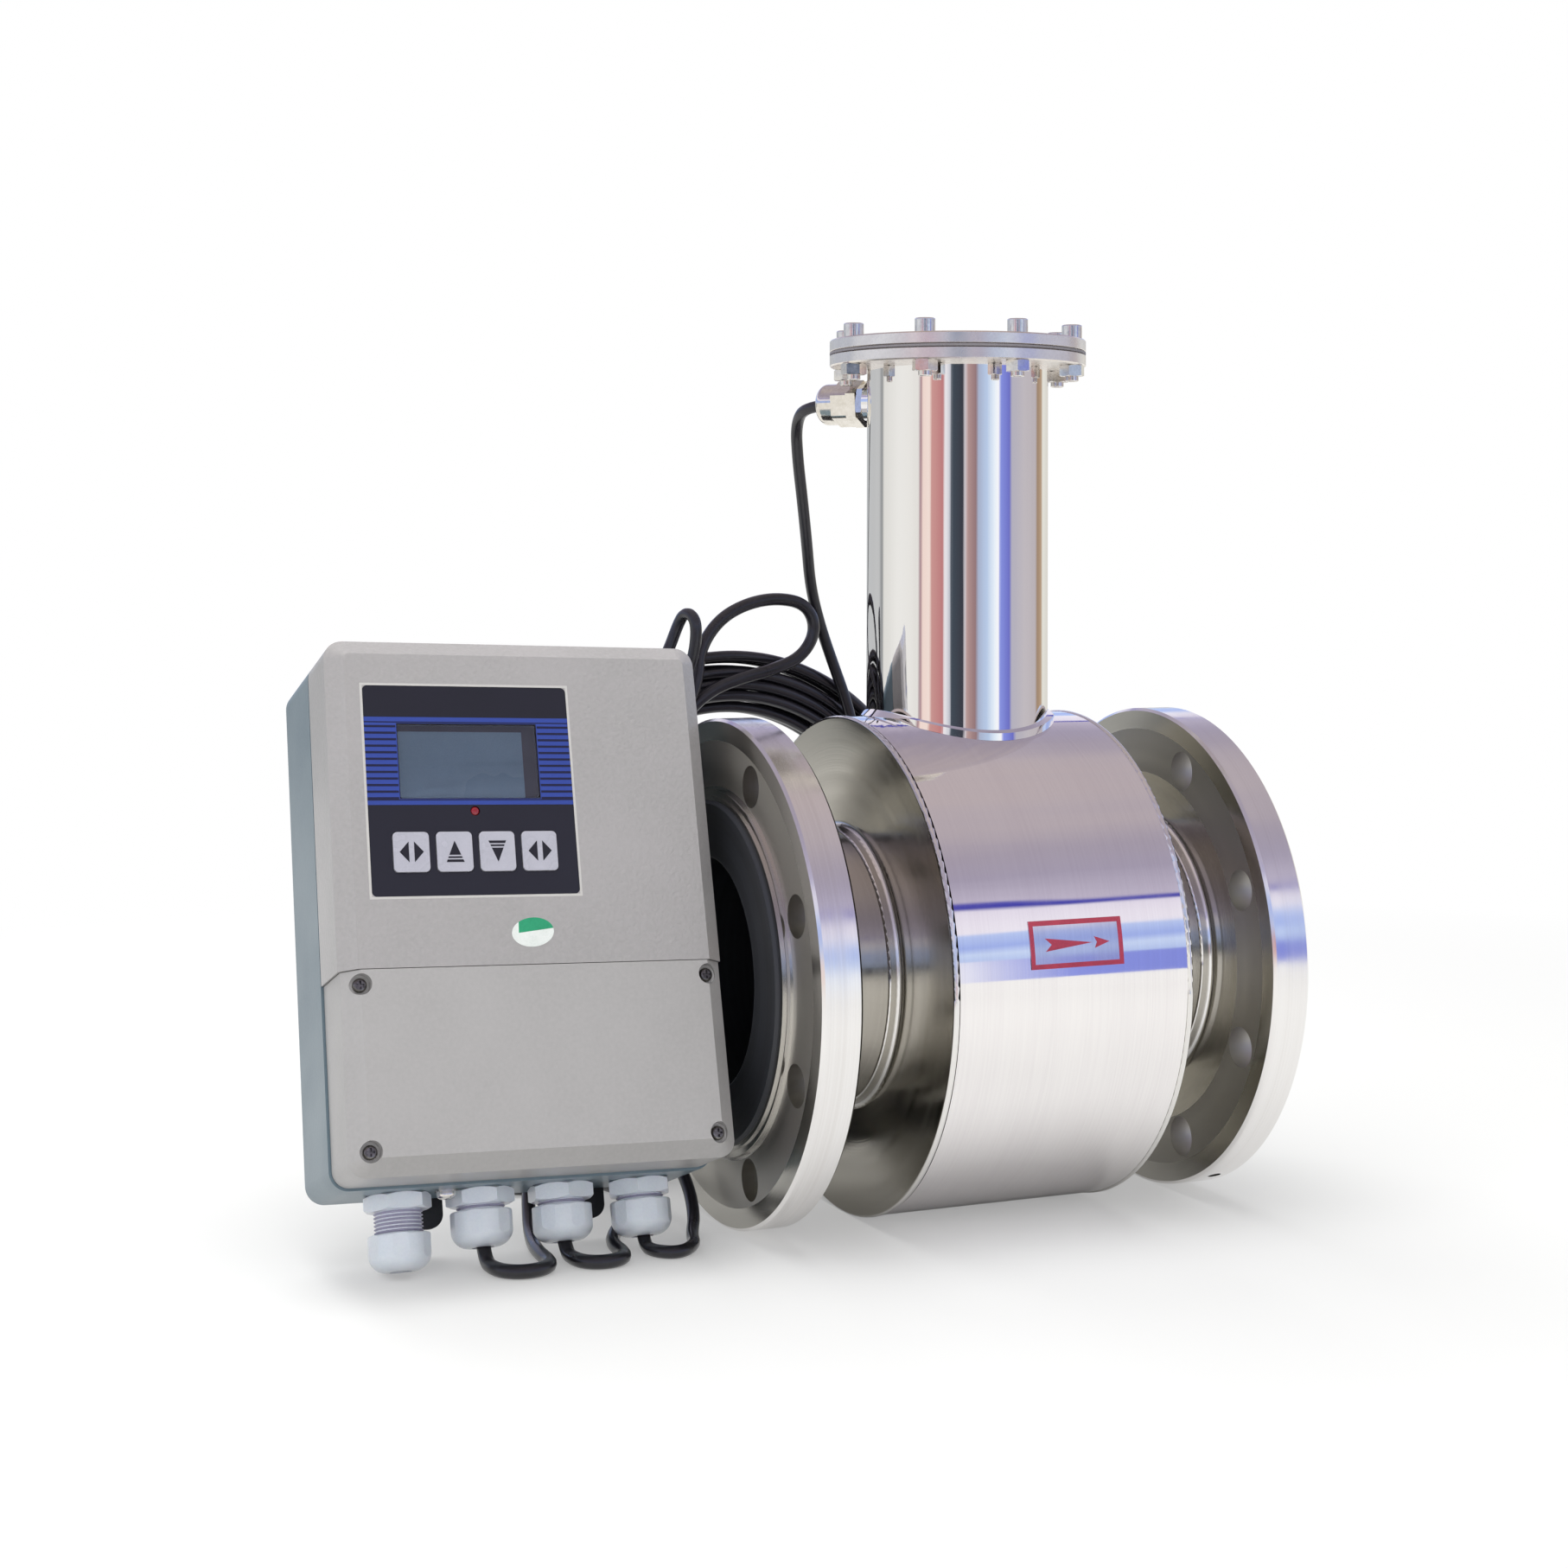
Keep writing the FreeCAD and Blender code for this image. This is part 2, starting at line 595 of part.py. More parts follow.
def electrode_bushes():
    """Insulating flanged bushes between the pins and the tube."""
    lining = bar(TUBE_RADIUS - TUBE_WALL, -FACE, FACE)
    outside = bar(TUBE_RADIUS, -FACE, FACE)
    bushes = []
    for sign in (1, -1):
        axis = Y_AXIS * sign
        sleeve = ring(BUSH_RADIUS, ELECTRODE_RADIUS, 0, BUSH_FLANGE_END, axis).cut(lining)
        flange = ring(BUSH_FLANGE_RADIUS, ELECTRODE_RADIUS, 0, BUSH_FLANGE_END, axis).cut(outside)
        bushes.append(sleeve.fuse(flange).removeSplitter())
    return bushes


def electrode_nuts():
    """Nuts that clamp the electrodes against their bushes."""
    end = BUSH_FLANGE_END + ELECTRODE_NUT_HEIGHT
    return [hex_nut(ELECTRODE_NUT_WIDTH, ELECTRODE_RADIUS, BUSH_FLANGE_END, end, Y_AXIS * sign)
            for sign in (1, -1)]


# Neck
def neck_tube():
    """Neck tube, cut to sit on the drum, with its weld bead and the boss for the gland."""
    wall = bar(NECK_RADIUS, 0, NECK_TOP, Z_AXIS)
    bead_limit = bar(DRUM_RADIUS + NECK_WELD, -NECK_RADIUS * 2, NECK_RADIUS * 2)
    bead = turned(((0, 0), (0, NECK_RADIUS + NECK_WELD), (DRUM_RADIUS, NECK_RADIUS + NECK_WELD),
                   (DRUM_RADIUS + NECK_WELD, NECK_RADIUS), (DRUM_RADIUS + NECK_WELD, 0)),
                  None, Z_AXIS, X_AXIS).common(bead_limit)
    boss = bar(NECK_BOSS_RADIUS, NECK_RADIUS - NECK_WALL, NECK_BOSS_FACE, NECK_GLAND_AXIS,
               NECK_GLAND_FOOT)
    solid = fused([wall, bead, boss])
    solid = solid.cut(bar(NECK_RADIUS - NECK_WALL, -SLACK, NECK_TOP + SLACK, Z_AXIS))
    solid = solid.cut(bar(DRUM_RADIUS, -NECK_RADIUS * 2, NECK_RADIUS * 2))
    return solid.cut(bar(NECK_THREAD_RADIUS, 0, NECK_BOSS_FACE + SLACK, NECK_GLAND_AXIS,
                         NECK_GLAND_FOOT))


def cover_holes(radius):
    """Drilled holes of the cover's bolt circle, as solids to cut away."""
    hole = bar(radius, NECK_TOP - 2 * PLATE_THICKNESS, COVER_TOP + SLACK, Z_AXIS,
               X_AXIS * COVER_BOLT_CIRCLE)
    return turned_copies(hole, COVER_BOLT_COUNT, COVER_BOLT_TURN, Z_AXIS)


def round_plate(bottom, bore):
    """Round plate of the neck with bevelled edges, bored if bore is not zero."""
    top = bottom + PLATE_THICKNESS
    edge = PLATE_RADIUS - PLATE_BEVEL
    profile = ((bottom, bore), (bottom, edge), (bottom + PLATE_BEVEL, PLATE_RADIUS),
               (top - PLATE_BEVEL, PLATE_RADIUS), (top, edge), (top, bore))
    return turned(profile, None, Z_AXIS, X_AXIS).cut(cover_holes(COVER_HOLE_RADIUS))


def neck_cover():
    """Lid of the neck, with a spigot that centres it in the gasket."""
    spigot_radius = NECK_RADIUS - NECK_WALL - SPIGOT_CLEARANCE
    spigot = bar(spigot_radius, COVER_BASE - SPIGOT_DEPTH, COVER_BASE, Z_AXIS)
    return round_plate(COVER_BASE, 0).fuse(spigot).removeSplitter()


def cover_gasket():
    """Flat gasket between the neck's flange and its cover."""
    sheet = ring(PLATE_RADIUS, NECK_RADIUS - NECK_WALL, NECK_TOP, COVER_BASE, Z_AXIS)
    return sheet.cut(cover_holes(COVER_HOLE_RADIUS))


def cover_bolts():
    """Socket-head screws round the cover."""
    foot = X_AXIS * COVER_BOLT_CIRCLE
    head_top = COVER_TOP + BOLT_HEAD_HEIGHT
    tail = NECK_TOP - PLATE_THICKNESS - COVER_NUT_HEIGHT - BOLT_TAIL
    profile = ((tail, 0), (tail, COVER_BOLT_RADIUS), (COVER_TOP, COVER_BOLT_RADIUS),
               (COVER_TOP, BOLT_HEAD_RADIUS), (head_top, BOLT_HEAD_RADIUS), (head_top, 0))
    radii = [0, PLATE_BEVEL, 0, 0, PLATE_BEVEL, 0]
    screw = turned(profile, radii, Z_AXIS, X_AXIS, foot)
    socket = hexagon(SOCKET_WIDTH, head_top - SOCKET_DEPTH, head_top + SLACK, Z_AXIS, foot)
    return turned_copies(screw.cut(socket), COVER_BOLT_COUNT, COVER_BOLT_TURN, Z_AXIS)


def cover_nuts():
    """Nuts under the neck's flange."""
    top = NECK_TOP - PLATE_THICKNESS
    nut = hex_nut(COVER_NUT_WIDTH, COVER_BOLT_RADIUS, top - COVER_NUT_HEIGHT, top, Z_AXIS,
                  X_AXIS * COVER_BOLT_CIRCLE, NUT_TURN)
    return turned_copies(nut, COVER_BOLT_COUNT, COVER_BOLT_TURN, Z_AXIS)


def terminal_board():
    """Round board in the neck, with two flats that let the coil wires pass."""
    radius = NECK_RADIUS - NECK_WALL - BOARD_CLEARANCE
    board = bar(radius, BOARD_LEVEL, BOARD_LEVEL + BOARD_THICKNESS, Z_AXIS)
    return board.common(Part.makeBox(2 * radius, 2 * BOARD_CUT, 2 * BOARD_THICKNESS,
                                     Vector(-radius, -BOARD_CUT, BOARD_LEVEL)))


def terminal_row(length, width, height, poles):
    """Row of screw terminals: a stepped moulding with a wire slot and a screw well at each pole."""
    step = height * TERMINAL_STEP_SHARE
    shoulder = width * TERMINAL_TOP_SHARE / 2
    profile = (Vector(-length / 2, -width / 2, 0), Vector(-length / 2, width / 2, 0),
               Vector(-length / 2, width / 2, step), Vector(-length / 2, shoulder, height),
               Vector(-length / 2, -shoulder, height), Vector(-length / 2, -width / 2, step))
    row = Part.Face(outline(profile)).extrude(X_AXIS * length)
    pitch = length / poles
    places = [Vector(pitch * (k + 0.5) - length / 2, 0, 0) for k in range(poles)]
    well = bar(pitch * TERMINAL_WELL_SHARE, height * TERMINAL_WELL_FLOOR_SHARE, height + SLACK,
               Z_AXIS)
    opening = pitch * TERMINAL_SLOT_SHARE
    slot = Part.makeBox(opening, width * TERMINAL_SLOT_DEPTH_SHARE + SLACK, step / 2,
                        Vector(-opening / 2, -width / 2 - SLACK, step / 4))
    return row.cut(pattern(well, places) + pattern(slot, places))


def terminal_block():
    """Screw terminals on the board in the neck."""
    block = terminal_row(*BLOCK_SIZE, BLOCK_POLES)
    block.translate(Z_AXIS * (BOARD_LEVEL + BOARD_THICKNESS))
    return block


# Cable gland in the neck
def neck_gland_levels():
    """Distances from the neck's axis to the gland's faces, from the boss outwards."""
    hex_start = NECK_BOSS_FACE + NECK_LOCKNUT_LENGTH
    cap_start = hex_start + NECK_HEX_LENGTH
    sleeve_end = cap_start + NECK_SLEEVE_LENGTH
    return hex_start, cap_start, sleeve_end, cap_start + NECK_CAP_LENGTH


def neck_gland_body():
    """Threaded body with its hexagon and the sleeve that the cap screws on."""
    hex_start, cap_start, sleeve_end, _ = neck_gland_levels()
    body = fused([bar(NECK_THREAD_RADIUS, NECK_THREAD_START, hex_start, NECK_GLAND_AXIS),
                  hexagon(NECK_HEX_WIDTH, hex_start, cap_start, NECK_GLAND_AXIS),
                  bar(NECK_SLEEVE_RADIUS, cap_start, sleeve_end, NECK_GLAND_AXIS)])
    bore = bar(NECK_BORE_RADIUS, 0, sleeve_end + SLACK, NECK_GLAND_AXIS)
    body = body.cut(bore)
    body.translate(NECK_GLAND_FOOT)
    return body


def neck_gland_locknut():
    """Thin nut that locks the gland on its boss."""
    hex_start = neck_gland_levels()[0]
    return hex_nut(NECK_HEX_WIDTH, NECK_THREAD_RADIUS, NECK_BOSS_FACE, hex_start,
                   NECK_GLAND_AXIS, NECK_GLAND_FOOT, NECK_LOCKNUT_TURN)


def neck_gland_cap():
    """Domed cap with a hexagon, hollow for the sleeve and the seal."""
    _, start, sleeve_end, tip = neck_gland_levels()
    hex_end = start + NECK_CAP_HEX_LENGTH
    radial = Rotation(Z_AXIS, NECK_GLAND_AXIS).multVec(X_AXIS)
    dome = turned(((start, 0), (start, NECK_CAP_RADIUS + SLACK), (hex_end, NECK_CAP_RADIUS + SLACK),
                   (hex_end, NECK_CAP_RADIUS), (tip, NECK_CAP_RADIUS), (tip, 0)),
                  [0, 0, 0, 0, NECK_CAP_RADIUS - NECK_CAP_TIP_RADIUS, 0],
                  NECK_GLAND_AXIS, radial)
    prism = hexagon(NECK_HEX_WIDTH, start, tip, NECK_GLAND_AXIS)
    seal_end = sleeve_end + NECK_SEAL_LENGTH
    cap = dome.common(prism)
    for radius, end in ((NECK_SLEEVE_RADIUS, sleeve_end + SLACK), (NECK_SEAL_RADIUS, seal_end),
                        (SENSOR_CABLE_RADIUS + MOUTH_CLEARANCE, tip + SLACK)):
        cap = cap.cut(bar(radius, start - SLACK, end, NECK_GLAND_AXIS))
    cap.translate(NECK_GLAND_FOOT)
    return cap


def neck_gland_seal():
    """Rubber ring that grips the sensor cable."""
    sleeve_end = neck_gland_levels()[2]
    return ring(NECK_SEAL_RADIUS, SENSOR_CABLE_RADIUS, sleeve_end, sleeve_end + NECK_SEAL_LENGTH,
                NECK_GLAND_AXIS, NECK_GLAND_FOOT)


# Converter box
def gland_cap_low_point(tip):
    """Depth of the lowest point of a gland cap below its own middle line, for a tip at y = tip."""
    up = converter_turn().multVec(Y_AXIS).z
    aside = math.sqrt(1 - up * up)
    middle = (tip + GLAND_CAP_ROUND) * up
    return middle - (GLAND_CAP_RADIUS - GLAND_CAP_ROUND) * aside - GLAND_CAP_ROUND


def converter_turn():
    """How the box is turned: its face leans back, and the box is a little askew."""
    lean = Rotation(X_AXIS, 90 - CONVERTER_LEAN)
    return lean.multiply(Rotation(Z_AXIS, CONVERTER_TURN))


def converter_placement():
    """Place of the box, so high that the loosened cap of its first gland stands on the table."""
    turn = converter_turn()
    foot = turn.multVec(Vector(GLAND_PLACES[0], 0, GLAND_DEPTH)).z
    height = TABLE_LEVEL - foot - gland_cap_low_point(GLAND_CAP_TIP - LOOSE_CAP_TRAVEL)
    return Placement(Vector(CONVERTER_X, CONVERTER_Y, height), turn)


CONVERTER = converter_placement()


def cover_form(inset, front):
    """Block with the cover's chamfered front, drawn in by an inset, and its front at a level."""
    half_width = BOX_WIDTH / 2 - inset
    half_height = BOX_HEIGHT / 2 - inset
    shoulder = front - CHAMFER_DEPTH
    corner = BOX_CORNER - inset
    body = slab(-half_width, half_width, -half_height, half_height, -COVER_DEPTH, shoulder, corner)
    wires = []
    for level, draw, radius in ((shoulder, 0.0, corner), (front, CHAMFER_WIDTH, corner / 4)):
        x = half_width - draw
        y = half_height - draw
        points = (Vector(-x, -y, level), Vector(x, -y, level), Vector(x, y, level),
                  Vector(-x, y, level))
        wires.append(outline(points, [radius] * 4))
    return body.fuse(Part.makeLoft(wires, True, True)).removeSplitter()


def half_space(bottom, top):
    """Wide block between two heights of the box, used to part the two covers."""
    return slab(-BOX_WIDTH, BOX_WIDTH, bottom, top, -2 * BOX_DEPTH, BOX_DEPTH)


def cover_shell(inset, bottom, top, wall_bottom, wall_top):
    """Hollow cover between two heights, with its own wall at the seam."""
    outer = cover_form(inset, 0.0).common(half_space(bottom, top))
    inner = cover_form(COVER_WALL, -COVER_WALL).common(half_space(wall_bottom, wall_top))
    mouth = slab(-BOX_WIDTH / 2 + COVER_WALL, BOX_WIDTH / 2 - COVER_WALL,
                 max(wall_bottom, COVER_WALL - BOX_HEIGHT / 2),
                 min(wall_top, BOX_HEIGHT / 2 - COVER_WALL),
                 -COVER_DEPTH - SLACK, -COVER_DEPTH + SLACK, BOX_CORNER / 2)
    return outer.cut(inner).cut(mouth)


def panel_openings(back, front):
    """Display window, key and lamp holes of the panel, as solids to cut away."""
    holes = [slab(DISPLAY_LEFT, DISPLAY_RIGHT, DISPLAY_BOTTOM, DISPLAY_TOP, back, front, 1.0),
             bar(LED_RADIUS, back, front, Z_AXIS, Vector(LED_X, LED_Y, 0))]
    for x in KEY_XS:
        reach = KEY_WIDTH / 2 + KEY_CLEARANCE
        holes.append(slab(x - reach, x + reach, KEY_BOTTOM - KEY_CLEARANCE,
                          KEY_TOP + KEY_CLEARANCE, back, front, KEY_CORNER + KEY_CLEARANCE))
    return holes


def display_post_places():
    """Middle points of the posts that carry the display board."""
    xs = (PANEL_LEFT + DISPLAY_POST_INSET, PANEL_RIGHT - DISPLAY_POST_INSET)
    ys = (PANEL_BOTTOM + DISPLAY_POST_INSET, PANEL_TOP - DISPLAY_POST_INSET)
    return [Vector(x, y, 0) for x in xs for y in ys]


def front_cover():
    """Upper cover with the recess, openings and board posts of the panel."""
    bottom = SEAM_LEVEL + SEAM_GAP / 2
    cover = cover_shell(0.0, bottom, BOX_HEIGHT, bottom + COVER_WALL, BOX_HEIGHT)
    recess = slab(PANEL_LEFT, PANEL_RIGHT, PANEL_BOTTOM, PANEL_TOP, -PANEL_RECESS, SLACK,
                  PANEL_CORNER)
    cover = cover.cut([recess] + panel_openings(-2 * COVER_WALL, SLACK))
    post = bar(DISPLAY_POST_RADIUS, DISPLAY_BOARD_LEVEL, -COVER_WALL, Z_AXIS)
    return fused([cover] + pattern(post, display_post_places()))


def terminal_cover():
    """Lower cover with its four screw recesses and the posts under them."""
    top = SEAM_LEVEL - SEAM_GAP / 2
    cover = cover_shell(TERMINAL_COVER_INSET, -BOX_HEIGHT, top, -BOX_HEIGHT, top - COVER_WALL)
    places = [Vector(x, y, 0) for x, y in COVER_SCREW_PLACES]
    limit = cover_form(TERMINAL_COVER_INSET, 0.0).common(half_space(-BOX_HEIGHT, top))
    posts = [post.common(limit) for post in
             pattern(bar(SCREW_BOSS_RADIUS, -COVER_DEPTH, 0.0, Z_AXIS), places)]
    cover = fused([cover] + posts)
    recess = bar(SCREW_RECESS_RADIUS, -SCREW_RECESS_DEPTH, SLACK, Z_AXIS)
    hole = bar(COVER_SCREW_RADIUS, -BOX_DEPTH, SLACK, Z_AXIS)
    return cover.cut(pattern(recess, places) + pattern(hole, places))


def main_post_places():
    """Middle points of the posts that carry the main board."""
    xs = (MAIN_BOARD_LEFT + MAIN_POST_INSET, MAIN_BOARD_RIGHT - MAIN_POST_INSET)
    ys = (MAIN_BOARD_BOTTOM + MAIN_POST_INSET, MAIN_BOARD_TOP - MAIN_POST_INSET)
    return [Vector(x, y, 0) for x in xs for y in ys]


def bracket_screw_places():
    """Middle points of the screws that hold the bracket to the box."""
    x = (BRACKET_OUTER + BRACKET_INNER) / 2
    return [Vector(side * x, y, 0) for side in (-1, 1) for y in BRACKET_SCREW_LEVELS]


def back_housing():
    """Deep tray of the box with screw posts, board posts, gland holes and a terminal ledge."""
    half_width = BOX_WIDTH / 2
    half_height = BOX_HEIGHT / 2
    tray = slab(-half_width, half_width, -half_height, half_height, -BOX_DEPTH, HOUSING_FRONT,
                BOX_CORNER)
    back_edges = [edge for edge in tray.Edges
                  if abs(edge.BoundBox.ZMax + BOX_DEPTH) < 1e-6]
    tray = tray.makeFillet(BOX_BACK_ROUND, back_edges)
    inside = slab(-half_width + BOX_WALL, half_width - BOX_WALL, -half_height + BOX_WALL,
                  half_height - BOX_WALL, BACK_INSIDE, HOUSING_FRONT + SLACK,
                  BOX_CORNER - BOX_WALL)
    tray = tray.cut(inside)
    screw_places = [Vector(x, y, 0) for x, y in COVER_SCREW_PLACES]
    posts = pattern(bar(SCREW_POST_RADIUS, BACK_INSIDE, -COVER_DEPTH, Z_AXIS), screw_places)
    posts += pattern(bar(MAIN_POST_RADIUS, BACK_INSIDE, MAIN_BOARD_LEVEL, Z_AXIS),
                     main_post_places())
    pads = pattern(bar(BRACKET_HEAD_RADIUS, BACK_INSIDE, BACK_INSIDE + BRACKET_SCREW_LENGTH,
                       Z_AXIS), bracket_screw_places())
    ledge = slab(-STRIP_LENGTH / 2, STRIP_LENGTH / 2, STRIP_Y - STRIP_WIDTH / 2,
                 STRIP_Y + STRIP_WIDTH / 2, BACK_INSIDE, BACK_INSIDE + STRIP_PAD)
    tray = fused([tray, ledge] + posts + pads)
    screw_hole = bar(COVER_SCREW_RADIUS, -COVER_SCREW_LENGTH - SCREW_RECESS_DEPTH, SLACK, Z_AXIS)
    bracket_hole = bar(BRACKET_SCREW_RADIUS, -BOX_DEPTH - SLACK,
                       -BOX_DEPTH + BRACKET_SCREW_LENGTH - BRACKET_THICKNESS, Z_AXIS)
    wall_holes = [bar(GLAND_THREAD_RADIUS, BOX_BOTTOM - SLACK, BOX_BOTTOM + BOX_WALL + SLACK,
                      Y_AXIS, Vector(x, 0, GLAND_DEPTH)) for x in GLAND_PLACES]
    wall_holes.append(bar(EARTH_SCREW_RADIUS, BOX_BOTTOM - SLACK, BOX_BOTTOM + BOX_WALL + SLACK,
                          Y_AXIS, Vector(EARTH_SCREW_X, 0, EARTH_SCREW_Z)))
    return tray.cut(pattern(screw_hole, screw_places)
                    + pattern(bracket_hole, bracket_screw_places()) + wall_holes)


def box_gasket():
    """Rubber seal between the covers and the housing."""
    outer = BOX_GASKET_INSET
    inner = BOX_GASKET_INSET + BOX_GASKET_WIDTH
    sheets = [slab(-BOX_WIDTH / 2 + inset, BOX_WIDTH / 2 - inset, -BOX_HEIGHT / 2 + inset,
                   BOX_HEIGHT / 2 - inset, HOUSING_FRONT, -COVER_DEPTH, BOX_CORNER - inset)
              for inset in (outer, inner)]
    posts = pattern(bar(SCREW_POST_RADIUS, -BOX_DEPTH, 0, Z_AXIS),
                    [Vector(x, y, 0) for x, y in COVER_SCREW_PLACES])
    return sheets[0].cut([sheets[1]] + posts)


def cover_screws():
    """Cross-head screws of the terminal cover."""
    seat = -SCREW_RECESS_DEPTH
    top = seat + COVER_SCREW_HEAD_HEIGHT
    screw = turned(((seat - COVER_SCREW_LENGTH, 0), (seat - COVER_SCREW_LENGTH, COVER_SCREW_RADIUS),
                    (seat, COVER_SCREW_RADIUS), (seat, COVER_SCREW_HEAD_RADIUS),
                    (top, COVER_SCREW_HEAD_RADIUS), (top, 0)),
                   [0, 0, 0, 0, COVER_SCREW_HEAD_HEIGHT / 2, 0], Z_AXIS, X_AXIS)
    screw = screw.cut(cross_recess(top, ORIGIN, Z_AXIS, X_AXIS))
    return pattern(screw, [Vector(x, y, 0) for x, y in COVER_SCREW_PLACES])


def keypad_overlay():
    """Thin printed front foil on its carrier, open at the display, the lamp and the keys."""
    sheet = slab(PANEL_LEFT, PANEL_RIGHT, PANEL_BOTTOM, PANEL_TOP, -PANEL_RECESS,
                 -PANEL_RECESS + OVERLAY_THICKNESS, PANEL_CORNER)
    return sheet.cut(panel_openings(-2 * COVER_WALL, SLACK))


def display_window():
    """Clear pane in front of the display."""
    gap = WINDOW_CLEARANCE
    return slab(DISPLAY_LEFT + gap, DISPLAY_RIGHT - gap, DISPLAY_BOTTOM + gap, DISPLAY_TOP - gap,
                -COVER_WALL - MODULE_CLEARANCE, WINDOW_FRONT, 1.0)


def display_module():
    """Liquid crystal module behind the pane."""
    front = -COVER_WALL - MODULE_CLEARANCE
    return slab(DISPLAY_LEFT - MODULE_MARGIN, DISPLAY_RIGHT + MODULE_MARGIN,
                DISPLAY_BOTTOM - MODULE_MARGIN, DISPLAY_TOP + MODULE_MARGIN,
                front - MODULE_THICKNESS, front)


def status_lamp():
    """Red lamp with a round head, standing on the display board."""
    lamp = turned(((DISPLAY_BOARD_LEVEL, 0), (DISPLAY_BOARD_LEVEL, LED_RADIUS),
                   (0.0, LED_RADIUS), (0.0, 0)), [0, 0, LED_ROUND, 0], Z_AXIS, X_AXIS,
                  Vector(LED_X, LED_Y, 0))
    return lamp


def display_board():
    """Circuit board behind the panel, with a push switch under each key."""
    back = DISPLAY_BOARD_LEVEL - BOARD_THICKNESS
    board = slab(PANEL_LEFT, PANEL_RIGHT, PANEL_BOTTOM, PANEL_TOP, back, DISPLAY_BOARD_LEVEL)
    top = KEY_STEM_END - KEY_TRAVEL - SWITCH_GAP
    half = SWITCH_SIZE / 2
    solids = [board]
    for x in KEY_XS:
        y = (KEY_BOTTOM + KEY_TOP) / 2
        solids.append(slab(x - half, x + half, y - half, y + half, DISPLAY_BOARD_LEVEL,
                           top - PLUNGER_LENGTH))
        solids.append(bar(PLUNGER_RADIUS, top - PLUNGER_LENGTH, top, Z_AXIS, Vector(x, y, 0)))
    return fused(solids)


def key(x):
    """Push key: a raised cap, a lip that keeps it in the cover, and the stem over its switch."""
    half = KEY_WIDTH / 2
    y = (KEY_BOTTOM + KEY_TOP) / 2
    cap = slab(x - half, x + half, KEY_BOTTOM, KEY_TOP, KEY_LIP_FRONT, KEY_RISE, KEY_CORNER)
    rim = [edge for edge in cap.Edges if edge.BoundBox.ZMin > KEY_RISE - 1e-3]
    cap = cap.makeFillet(KEY_RISE / 2, rim)
    lip = slab(x - half - KEY_LIP, x + half + KEY_LIP, KEY_BOTTOM - KEY_LIP, KEY_TOP + KEY_LIP,
               KEY_LIP_FRONT - KEY_LIP_THICKNESS, KEY_LIP_FRONT, KEY_CORNER)
    stem = bar(KEY_STEM_RADIUS, KEY_STEM_END, KEY_LIP_FRONT, Z_AXIS, Vector(x, y, 0))
    return fused([cap, lip, stem])


def main_board():
    """Main circuit board with its tallest components."""
    top = MAIN_BOARD_LEVEL + BOARD_THICKNESS
    board = slab(MAIN_BOARD_LEFT, MAIN_BOARD_RIGHT, MAIN_BOARD_BOTTOM, MAIN_BOARD_TOP,
                 MAIN_BOARD_LEVEL, top)
    capacitors = pattern(bar(CAPACITOR_RADIUS, top, top + CAPACITOR_HEIGHT, Z_AXIS),
                         [Vector(MAIN_BOARD_RIGHT - inset, MAIN_BOARD_TOP - CAPACITOR_BELOW_TOP, 0)
                          for inset in CAPACITOR_INSETS])
    half = CHIP_SIZE / 2
    chips = pattern(slab(-half, half, -half, half, top, top + CHIP_HEIGHT),
                    [Vector(MAIN_BOARD_RIGHT - across, MAIN_BOARD_TOP - down, 0)
                     for across, down in CHIP_INSETS])
    left = MAIN_BOARD_LEFT + HEADER_INSET[0]
    bottom = MAIN_BOARD_BOTTOM + HEADER_INSET[1]
    header = slab(left, left + HEADER_LENGTH, bottom, bottom + HEADER_WIDTH, top,
                  top + HEADER_HEIGHT)
    return fused([board, header] + capacitors + chips)


def transformer():
    """Mains transformer: a laminated core round a wound bobbin."""
    length, width, height = TRANSFORMER_SIZE
    base = MAIN_BOARD_LEVEL + BOARD_THICKNESS
    core_width = width * CORE_WIDTH_SHARE
    core = Part.makeBox(length, core_width, height, Vector(-length / 2, -core_width / 2, 0))
    reach = length * BOBBIN_LENGTH_SHARE / 2
    lift = height * (1 - BOBBIN_HEIGHT_SHARE) / 2
    bobbin = slab(-reach, reach, -width / 2, width / 2, lift, height - lift, BOBBIN_CORNER)
    solid = core.fuse(bobbin).removeSplitter()
    across, down = TRANSFORMER_INSET
    solid.translate(Vector(MAIN_BOARD_LEFT + across, MAIN_BOARD_TOP - down, base))
    return solid


def terminal_strip():
    """Field terminals on the ledge behind the terminal cover."""
    strip = terminal_row(STRIP_LENGTH, STRIP_WIDTH, STRIP_HEIGHT, STRIP_POLES)
    strip.translate(Vector(0, STRIP_Y, BACK_INSIDE + STRIP_PAD))
    return strip


# Cable glands of the box, each along its own -y axis
DOWN = Y_AXIS * -1


def gland_foot(index):
    """Point of a gland's axis at the middle height of the box."""
    return Vector(GLAND_PLACES[index], 0, GLAND_DEPTH)


def gland_body(index):
    """Threaded gland body with its hexagon and the sleeve that the cap screws on."""
    wall = -BOX_BOTTOM
    hex_end = wall + GLAND_HEX_LENGTH
    foot = gland_foot(index)
    body = fused([bar(GLAND_THREAD_RADIUS, wall - GLAND_THREAD_LENGTH, wall, DOWN, foot),
                  hex_nut(GLAND_HEX_WIDTH, SLACK, wall, hex_end, DOWN, foot,
                          GLAND_TURN_STEP * index),
                  bar(GLAND_SLEEVE_RADIUS, hex_end, -GLAND_SLEEVE_TIP, DOWN, foot)])
    return body.cut(bar(GLAND_BORE_RADIUS, 0, -GLAND_SLEEVE_TIP + SLACK, DOWN, foot))


